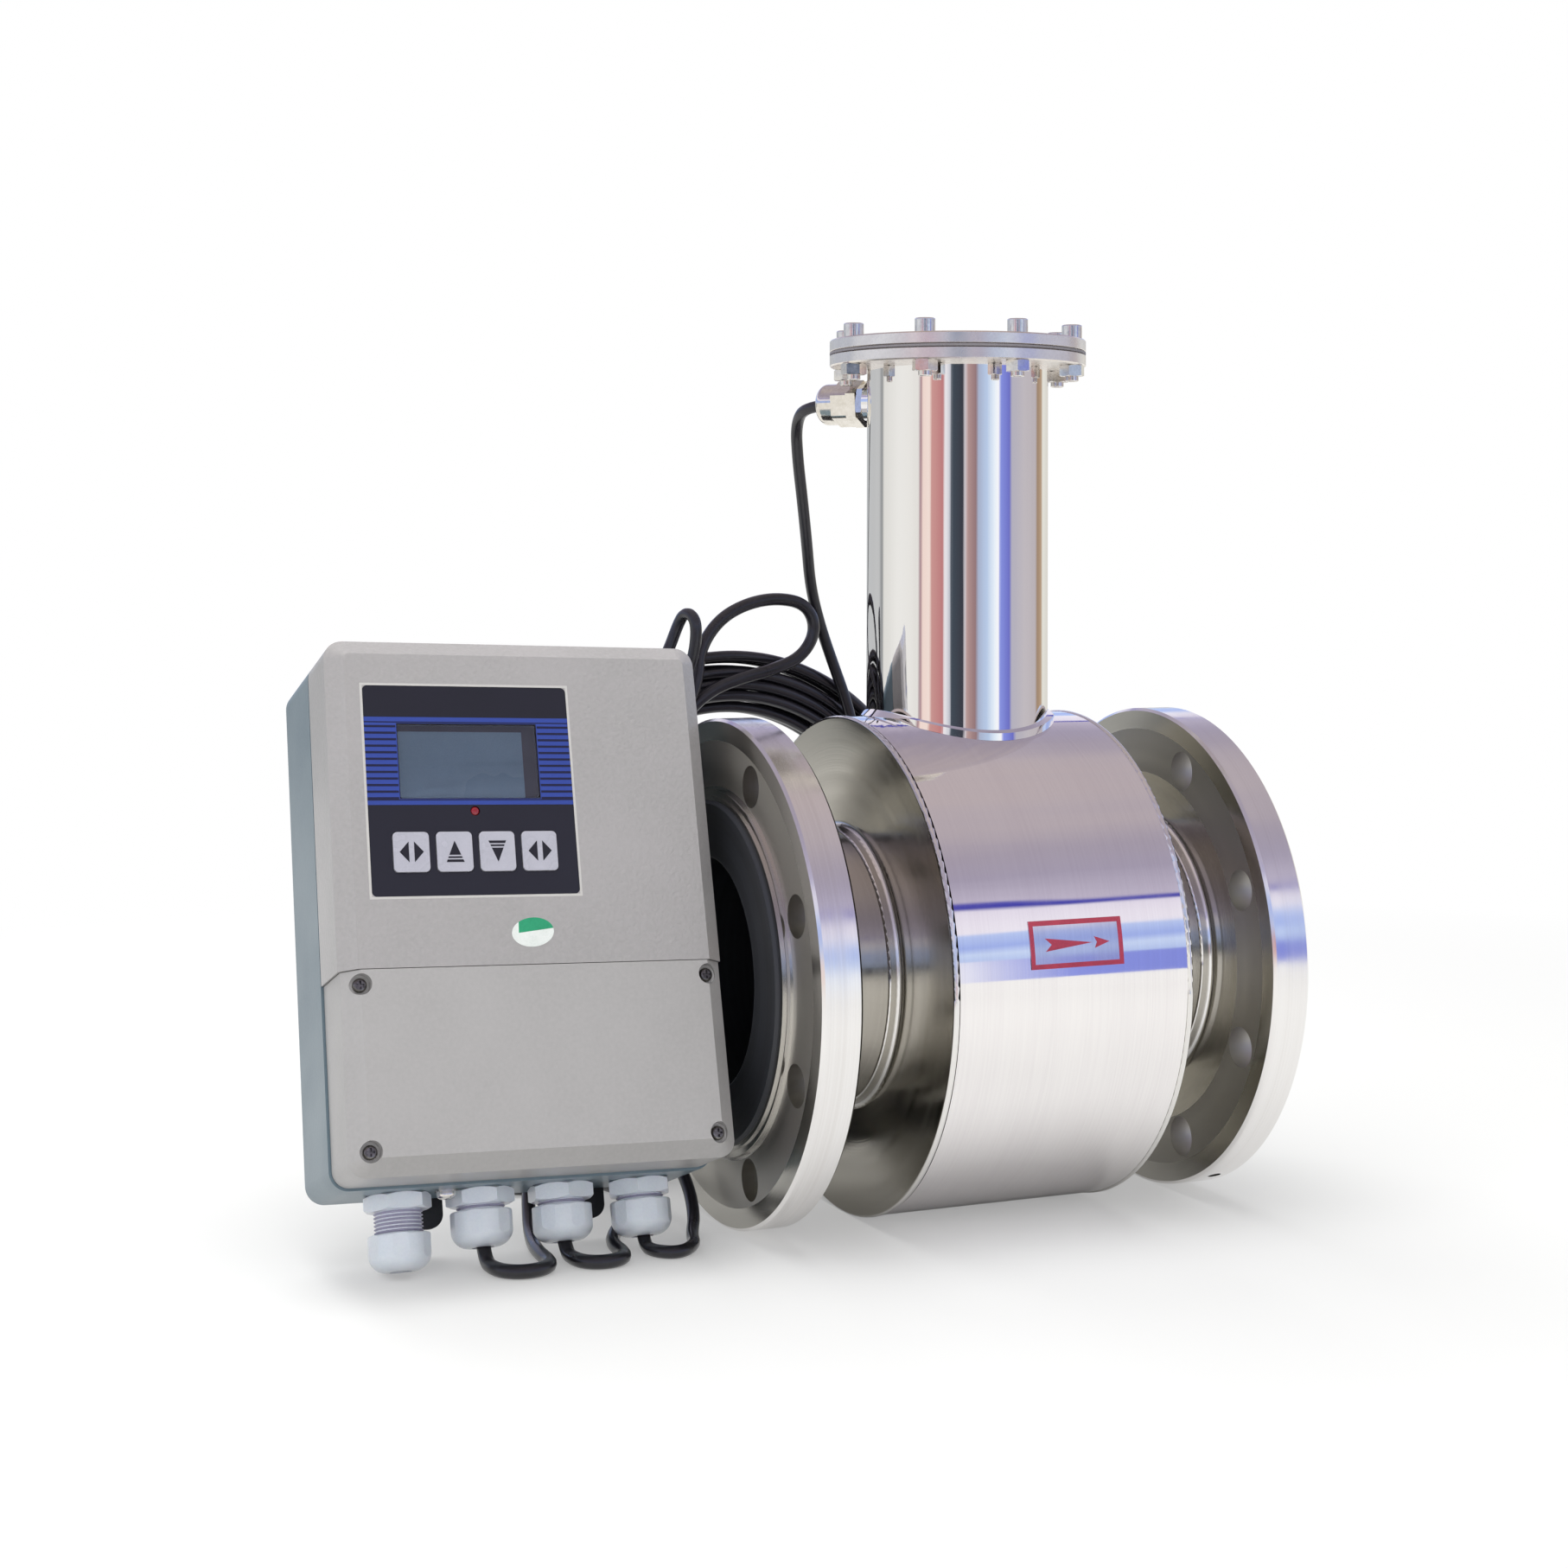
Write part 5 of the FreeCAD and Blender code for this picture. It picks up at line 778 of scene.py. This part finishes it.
    def print_keys(self) -> None:
        """Add the black signs on the four keys."""
        double = [[(-5.0, 0.0), (-1.1, -4.3), (-1.1, 4.3)], [(5.0, 0.0), (1.1, 4.3), (1.1, -4.3)]]
        up = [[(0.0, 4.5), (-2.5, -1.4), (2.5, -1.4)],
              [(-2.75, -2.0), (-3.05, -2.75), (3.05, -2.75), (2.75, -2.0)],
              [(-3.3, -3.3), (-3.75, -4.4), (3.75, -4.4), (3.3, -3.3)]]
        down = [[(x, -y) for x, y in shape] for shape in up]
        signs = (("left", double), ("up", up), ("down", down), ("right", double))
        for (name, shapes), x in zip(signs, self.key_xs):
            moved = [[(x + dx, self.key_middle + dy) for dx, dy in shape] for shape in shapes]
            self.shop.finish_piece(ink(moved, self.key_top, self.ink_height),
                                   f"key_{name}_sign", INK_BLACK, "key_silver",
                                   f"{name}_key", self.place())

    def cut_threads(self) -> None:
        """Add the thread that shows between each gland's hexagon and its cap."""
        pitch = self.thread_pitch
        root, crest = self.sleeve_radius - self.thread_root, self.sleeve_radius + self.thread_height
        crest_start, crest_end = self.thread_crest
        meshes = []
        for index, x in enumerate(self.gland_xs):
            end = self.cap_start - (self.loose_travel if index == 0 else 0.0)
            along = self.hex_end
            while along - pitch >= end - self.thread_under:
                profile = ((along - self.thread_start, root), (along - pitch * crest_start, crest),
                           (along - pitch * crest_end, crest),
                           (along - pitch + self.thread_start, root))
                meshes.append(lathe(profile, self.thread_steps, Vector((0, 1, 0)), True,
                                    Vector((x, 0, self.gland_depth))))
                along -= pitch
        # The thread's darker colour is painted shade
        self.shop.finish_piece(joined(meshes), "gland_threads", GLAND_THREAD_PAINTED_SHADE, "gland_plastic",
                               place=self.place())

    def stick_label(self) -> None:
        """Add the plain oval sticker under the panel: white, with a green upper part."""
        (wide, high), (left, foot) = self.sticker_reach, self.printed_corner
        angles = [math.tau * index / self.sticker_corners for index in range(self.sticker_corners)]
        oval = [(wide * math.cos(angle), high * math.sin(angle)) for angle in angles]
        printed = [(x, y) for x, y in oval if y > foot and x > left]
        printed.append((left, foot))
        place = (self.place() @ Matrix.Translation(self.sticker_middle)
                 @ Matrix.Rotation(math.radians(self.sticker_tilt), 4, "Z"))
        self.shop.finish_piece(ink([oval], PRINT_GAP, self.sticker_height), "check_sticker",
                               STICKER_WHITE, "box_paint", place=place)
        top = PRINT_GAP + self.sticker_height
        self.shop.finish_piece(ink([printed], top, self.printed_height), "check_sticker_top",
                               STICKER_GREEN, "box_paint", place=place)


@dataclass
class Cables:
    """The sensor cable with its coil, and the two leads, each laid as one curve."""

    shop: Workshop
    sensor_radius: float = 2.75
    lead_radius: float = 3.0
    # Steps of a cable's quarter round and of its route between two points
    round_steps: int = 4
    route_steps: int = 10
    coil_centre: Point = (-72.7, 103.6, 13.0)
    coil_slope: float = 0.15
    # Degrees: where the coil starts and ends, its step, and how far before its first point a turn
    # counts from; a turn moves over to its neighbour's place from shift_from on
    coil_start: float = -64.6
    coil_end: float = -5270.0
    coil_step: float = 18.0
    coil_lead: float = 18.0
    shift_from: float = 20.0
    shift_over: float = 60.0
    layer_depth: float = 5.3
    radii: tuple[float, ...] = (95.9, 101.6, 107.3, 113.0, 119.4)
    front_radii: tuple[float, ...] = (96.0, 101.4, 107.0, 112.4, 120.2)
    turns: tuple[tuple[int, int], ...] = (
        (0, 1), (0, 0), (1, 0), (1, 1), (2, 1), (2, 0), (3, 0), (3, 1), (4, 1), (4, 0), (4, -1),
        (3, -1), (2, -1), (1, -1), (0, -1))
    drop: tuple[Point, ...] = (
        (-37.62, 51.78, 251.5), (-47.02, 64.72, 251.5), (-45.5, 79.0, 243.5), (-42.5, 83.5, 227.0),
        (-38.8, 86.5, 208.5), (-34.6, 90.5, 187.0), (-30.2, 96.0, 166.0), (-23.2, 100.0, 147.0),
        (-16.4, 100.5, 129.5), (-9.2, 99.8, 110.5), (-3.8, 99.5, 90.0), (0.5, 103.2, 67.5),
        (3.0, 110.3, 44.0), (5.0, 115.4, 19.0), (4.6, 117.2, -7.0), (1.5, 115.6, -33.0),
        (-5.5, 113.0, -58.0))
    tail: tuple[Point, ...] = (
        (-112.0, 84.5, 106.5), (-106.0, 78.0, 117.0), (-100.8, 74.2, 128.5), (-98.6, 72.8, 139.5),
        (-98.4, 72.6, 149.6), (-99.6, 76.0, 154.0), (-101.2, 81.4, 154.0), (-102.6, 85.2, 149.0),
        (-106.5, 86.2, 138.0), (-113.5, 85.4, 124.0), (-123.0, 82.8, 105.0), (-130.5, 79.6, 82.0),
        (-137.0, 75.0, 55.0), (-141.0, 66.0, 22.0), (-142.0, 54.0, -14.0), (-139.0, 39.0, -47.0),
        (-132.5, 23.0, -74.0), (-127.0, 8.0, -92.5), (-130.0, -7.5, -103.0),
        (-136.5, -21.0, -107.15), (-141.0, -36.5, -107.15), (-151.5, -46.5, -107.15),
        (-161.0, -39.5, -107.15), (-160.40, -26.67, -107.15), (-160.02, -22.92, -96.71))
    supply: tuple[Point, ...] = (
        (-229.18, -22.11, -94.47), (-229.63, -26.58, -106.9), (-229.3, -42.0, -106.9),
        (-222.3, -49.0, -106.9), (-212.3, -49.0, -106.9), (-205.3, -42.0, -106.9),
        (-205.3, -24.5, -106.9), (-203.0, -8.5, -106.9), (-199.0, 9.0, -104.0),
        (-194.0, 26.0, -91.0), (-186.0, 38.0, -66.0), (-176.0, 43.5, -35.0), (-162.0, 50.0, 2.0),
        (-147.0, 57.5, 37.0), (-135.0, 65.5, 62.0), (-124.0, 71.5, 80.0), (-111.5, 77.0, 97.5),
        (-101.0, 80.0, 110.0), (-93.5, 83.8, 121.5), (-91.0, 87.5, 137.0), (-80.0, 90.5, 151.0),
        (-64.5, 93.0, 158.5), (-48.0, 94.5, 161.0), (-33.0, 94.3, 158.0), (-27.8, 94.0, 145.5),
        (-35.5, 93.8, 132.5), (-51.0, 92.3, 126.8), (-69.0, 90.3, 123.0), (-85.5, 88.4, 117.5),
        (-100.5, 86.2, 105.0), (-111.5, 84.4, 88.0), (-123.5, 81.0, 68.0), (-129.0, 75.0, 45.0),
        (-131.0, 66.0, 19.0), (-131.0, 56.0, -12.0), (-132.5, 49.5, -44.0), (-137.5, 47.5, -72.0),
        (-146.0, 53.0, -92.5), (-157.0, 65.0, -104.0), (-170.5, 79.0, -106.9),
        (-187.0, 90.5, -106.9), (-207.0, 97.0, -106.9), (-228.0, 99.5, -106.9))
    output: tuple[Point, ...] = (
        (-194.60, -22.52, -95.59), (-195.01, -26.58, -106.9), (-194.8, -41.5, -106.9),
        (-188.4, -47.9, -106.9), (-179.4, -47.9, -106.9), (-173.0, -41.5, -106.9),
        (-173.0, -22.0, -106.9), (-164.5, -3.0, -106.9), (-152.0, 15.0, -106.9),
        (-141.0, 33.0, -106.9), (-136.5, 52.0, -106.9), (-138.5, 72.0, -106.9),
        (-146.5, 92.0, -106.9), (-159.0, 109.0, -106.9), (-175.5, 121.0, -106.9))

    def slot_of(self, turn: int) -> Flat:
        """Look up the place of one turn of the coil in the bundle.

        Args:
            turn: the turn's number, from 0.

        Returns:
            Its radius and depth in millimetres.
        """
        ring, layer = self.turns[min(turn, len(self.turns) - 1)]
        radii = self.front_radii if layer < 0 else self.radii
        return radii[ring], layer * self.layer_depth

    def coil_points(self) -> list[Point]:
        """Points of the coil's turns, each moving over to its neighbour's place low down.

        Returns:
            Route points in millimetres, from the drop's end to the tail's start.
        """
        across = Vector((1.0, self.coil_slope, 0.0)).normalized()
        outward = Vector((-self.coil_slope, 1.0, 0.0)).normalized()
        stretch = 1.0 / math.cos(math.radians(self.coil_step / 2))
        points = []
        angle = self.coil_start
        while angle > self.coil_end:
            turn, within = divmod(self.coil_start + self.coil_lead - angle, 360.0)
            radius, depth = self.slot_of(int(turn))
            if within < self.shift_from + self.shift_over and turn > 0:
                share = min(1.0, max(0.0, (within - self.shift_from) / self.shift_over))
                share = share * share * (3 - 2 * share)
                old_radius, old_depth = self.slot_of(int(turn) - 1)
                radius = old_radius + (radius - old_radius) * share
                depth = old_depth + (depth - old_depth) * share
            turned = math.radians(angle)
            reach = radius * stretch
            points.append(tuple(Vector(self.coil_centre) + across * (reach * math.cos(turned))
                                + Vector((0, 0, reach * math.sin(turned)))
                                + outward * depth))
            angle -= self.coil_step
        return points

    def lay(self, name: str, points: Sequence[Point], radius: float) -> Piece:
        """Lay one cable as a smooth round curve along its route.

        Args:
            name: the piece's name.
            points: route points in millimetres.
            radius: the cable's radius in millimetres.

        Returns:
            The cable's curve object.
        """
        curve = bpy.data.curves.new(name, "CURVE")
        curve.dimensions = "3D"
        curve.bevel_depth = radius * MM
        curve.bevel_resolution = self.round_steps
        curve.use_fill_caps = True
        spline = curve.splines.new("NURBS")
        spline.points.add(len(points) - 1)
        for point, spot in zip(spline.points, points):
            point.co = (*(Vector(spot) * MM), 1.0)
        spline.order_u = 3
        spline.use_endpoint_u = True
        spline.resolution_u = self.route_steps
        curve.materials.append(self.shop.material(CABLE_PVC))
        piece = put_in_scene(name, curve)
        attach(piece, METER)
        self.shop.made.append(name)
        LOG.info("cord %s: %d route points", name, len(points))
        return piece

    def build(self) -> None:
        """Lay the three cables and hide the imported parts that they replace."""
        route = self.drop + tuple(self.coil_points()) + self.tail
        sensor = self.lay("sensor_cable", route, self.sensor_radius)
        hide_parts("sensor_cable_drop", "cable_coil", "sensor_cable_tail")
        supply = self.lay("supply_cable", self.supply, self.lead_radius)
        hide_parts("supply_lead")
        output = self.lay("output_cable", self.output, self.lead_radius)
        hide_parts("output_lead")


@dataclass
class Studio:
    """Camera, floor, world and lamps."""

    eye: Point = (-543.3, -1062.4, 180.5)
    yaw: float = 24.098
    pitch: float = 0.313
    roll: float = 0.122
    lens: float = 60.31
    shift: Flat = (-0.0230, -0.1538)
    film: float = 36.0
    # Metres from the camera between which things are seen
    sight: Flat = (0.05, 20.0)
    floor_radius: float = 2600.0
    floor_corners: int = 96
    # Metres from the origin between which the floor fades into the background
    floor_fade: Flat = (0.45, 1.1)
    # Metres between which its reflection under the meter brightens, and the glow before and after
    glow_reach: Flat = (0.13, 0.18)
    glow: Flat = (0.3, 0.45)
    ambient: float = 0.5
    gloss: float = 1.1
    ripple: float = 0.07
    ripple_scale: float = 5.0
    ripple_detail: float = 3.0
    # Sine of the angle above the floor up to which the room's sides show, and where they end
    sides_end: Flat = (0.094, 0.1)
    # Name, place, size and power of each lamp
    lights: tuple[tuple[str, Point, float, float], ...] = (
        ("overhead", (-300.0, -300.0, 1700.0), 1600.0, 22.0),
        ("behind", (-250.0, 1300.0, 1500.0), 1200.0, 16.0),
        ("low_front", (-500.0, -1700.0, 60.0), 900.0, 8.0),
        ("window", (-1700.0, -900.0, 700.0), 1300.0, 5.0))
    # Share of a full turn and colour, from behind the object over its left side to the camera,
    # at 0.5, and on over its right side: what the polished neck shows side by side
    sides: Stops = (
        (0.000, "#B8BBBD"), (0.164, "#C3C5C6"), (0.184, "#8F9294"), (0.197, "#E2E2DE"),
        (0.283, "#EDEDEA"), (0.353, "#E6E5E1"), (0.362, "#9A7480"), (0.370, "#F0DAD2"),
        (0.395, "#F2E0D8"), (0.401, "#CC9A96"), (0.444, "#BE7E80"), (0.450, "#EDEBEF"),
        (0.468, "#C9CCD6"), (0.473, "#434D58"), (0.512, "#3C3E48"), (0.518, "#D9D5DC"),
        (0.527, "#B89A98"), (0.556, "#93777A"), (0.565, "#A9B4CE"), (0.596, "#B9CDEB"),
        (0.624, "#E9F4FF"), (0.640, "#FBFCFF"), (0.647, "#8A96E6"), (0.684, "#6E72C8"),
        (0.695, "#B6B4C2"), (0.753, "#C3BEC4"), (0.819, "#BDB6BB"), (0.830, "#A08872"),
        (0.862, "#B59C84"), (0.877, "#E4E4DC"), (1.000, "#C9C4BD"))
    # Height as the sine of the angle above the floor, mapped from -1..1 to 0..1, and colour
    heights: Stops = (
        (0.00, "#EFEEEC"), (0.49, "#F4F3F2"), (0.514, "#F2F1F6"), (0.522, "#A9BDEE"),
        (0.575, "#C9DAFA"), (0.600, "#9FB2EE"), (0.645, "#B9CBF6"), (0.653, "#EDEAF6"),
        (0.715, "#E3DEEE"), (0.722, "#3F3FA6"), (0.730, "#4A4AAE"), (0.738, "#BDB6CB"),
        (0.80, "#A49DB2"), (0.86, "#A59DAD"), (0.92, "#B5ABB2"), (0.97, "#BBAFB1"),
        (1.00, "#BBAFB0"))

    def camera(self) -> None:
        """Set the camera at the photograph's place and angle."""
        yaw, pitch, roll = (math.radians(a) for a in (self.yaw, self.pitch, self.roll))
        ahead = Vector((math.sin(yaw) * math.cos(pitch), math.cos(yaw) * math.cos(pitch),
                        math.sin(pitch)))
        right = Vector((math.cos(yaw), -math.sin(yaw), 0.0))
        up = right.cross(ahead)
        turned_right = right * math.cos(roll) + up * math.sin(roll)
        turned_up = up * math.cos(roll) - right * math.sin(roll)
        data = bpy.data.cameras.new("camera")
        data.lens = self.lens
        data.sensor_width = self.film
        data.shift_x, data.shift_y = self.shift
        data.clip_start, data.clip_end = self.sight
        camera = put_in_scene("camera", data)
        matrix = Matrix((turned_right, turned_up, -ahead)).transposed().to_4x4()
        camera.matrix_world = Matrix.Translation(Vector(self.eye) * MM) @ matrix
        bpy.context.scene.camera = camera

    def shown(self, tree: Tree) -> Socket:
        """Tell what is seen from what only lights the room softly.

        Args:
            tree: the tree to add to.

        Returns:
            A socket with 1 for a camera, glossy or transmitted ray, and 0 for soft light.
        """
        path = add_node(tree, "LightPath")
        first = compute(tree, "MAXIMUM", path.outputs["Is Camera Ray"],
                        path.outputs["Is Glossy Ray"])
        return compute(tree, "MAXIMUM", first, path.outputs["Is Transmission Ray"])

    def ramp(self, tree: Tree, stops: Stops, factor: Socket) -> Socket:
        """Add a colour ramp.

        Args:
            tree: the tree to add to.
            stops: place and colour of each stop.
            factor: the socket that runs along the ramp.

        Returns:
            The ramp's colour socket.
        """
        node = add_node(tree, "ValToRGB", {0: factor})
        elements = node.color_ramp.elements
        while len(elements) < len(stops):
            elements.new(0.5)
        for element, (place, colour) in zip(elements, stops):
            element.position = place
            element.color = linear(colour)
        return node.outputs[0]

    def world(self) -> None:
        """Light the room evenly, and let polished steel show a pale room with its openings."""
        world = bpy.data.worlds.new("studio")
        bpy.context.scene.world = world
        tree = bare_tree(world)
        look = add_node(tree, "TexCoord").outputs["Generated"]
        turned = add_node(tree, "Mapping", {
            "Vector": look, "Rotation": (0, 0, math.radians(self.yaw + 90.0))}).outputs[0]
        parts = add_node(tree, "SeparateXYZ", {0: turned})
        angle = compute(tree, "ARCTAN2", parts.outputs["Y"], parts.outputs["X"])
        side = self.ramp(tree, self.sides, rescale(tree, angle, (-math.pi, math.pi)))
        ripple = add_node(tree, "TexNoise", {
            "Vector": turned, "Scale": self.ripple_scale, "Detail": self.ripple_detail})
        swing = rescale(tree, ripple.outputs[0], (0.0, 1.0), (-self.ripple, self.ripple))
        upward = compute(tree, "ADD", parts.outputs["Z"], swing)
        height = self.ramp(tree, self.heights, rescale(tree, upward, (-1.0, 1.0)))
        level = compute(tree, "ABSOLUTE", parts.outputs["Z"])
        room = blend(tree, rescale(tree, level, self.sides_end, (1.0, 0.0)), height, side)
        path = add_node(tree, "LightPath")
        seen = compute(tree, "MAXIMUM", path.outputs["Is Glossy Ray"],
                       path.outputs["Is Transmission Ray"])
        soft, glossy, white = (
            add_node(tree, "Background", {"Color": colour, "Strength": strength})
            for colour, strength in ((WHITE, self.ambient), (room, self.gloss), (WHITE, 1.0)))
        last = mix_shaders(tree, path.outputs["Is Camera Ray"],
                           mix_shaders(tree, seen, soft, glossy), white)
        add_node(tree, "OutputWorld", {"Surface": last.outputs[0]})

    def floor(self) -> None:
        """Lay the round white floor, which fades into the background."""
        mesh = bmesh.new()
        bmesh.ops.create_circle(mesh, cap_ends=True, segments=self.floor_corners,
                                radius=self.floor_radius * MM)
        bmesh.ops.translate(mesh, verts=mesh.verts, vec=(0, 0, TABLE_MM * MM))
        data = write_mesh("floor", mesh)
        floor = put_in_scene("floor", data)
        material = bpy.data.materials.new("floor_white_paper")
        tree = bare_tree(material)
        point = add_node(tree, "TexCoord").outputs["Object"]
        distance = add_node(tree, "VectorMath", {
            "operation": "LENGTH", 0: point}).outputs["Value"]
        clear = compute(tree, "MULTIPLY", rescale(tree, distance, self.floor_fade),
                        self.shown(tree))
        paper = add_node(tree, "BsdfDiffuse", {"Color": linear("#EDEDEC")})
        glow = add_node(tree, "Emission", {"Color": WHITE, "Strength": self.shown(tree)})
        path = add_node(tree, "LightPath")
        before, after = self.glow
        under = rescale(tree, distance, self.glow_reach, (0.0, after))
        share = rescale(tree, path.outputs["Is Glossy Ray"], (0.0, 1.0), (before, under))
        final = mix_shaders(tree, clear, mix_shaders(tree, share, paper, glow), glow)
        add_node(tree, "OutputMaterial", {"Surface": final.outputs[0]})
        data.materials.append(material)

    def lamps(self) -> None:
        """Hang the large soft lamps; polished parts show the room and not the lamps."""
        for name, place, size, power in self.lights:
            data = bpy.data.lights.new(name, "AREA")
            data.size = size * MM
            data.energy = power
            lamp = put_in_scene(name, data)
            spot = Vector(place) * MM
            lamp.matrix_world = (Matrix.Translation(spot)
                                 @ (-spot).to_track_quat("-Z", "Y").to_matrix().to_4x4())
            lamp.visible_glossy = False

    def build(self) -> None:
        """Set up the whole studio."""
        self.camera()
        self.world()
        self.floor()
        self.lamps()
        bpy.context.scene.view_settings.view_transform = "Standard"


def main() -> None:
    """Load the frame, dress it and report each piece."""
    logging.basicConfig(level=logging.INFO, format="%(message)s")
    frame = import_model()
    shop = Workshop(frame["nodes"])
    Studio().build()
    Cables(shop).build()
    Sensor(shop).build()
    Converter(shop).build()
    LOG.info("%d new pieces", len(shop.made))


if __name__ == "__main__":
    main()
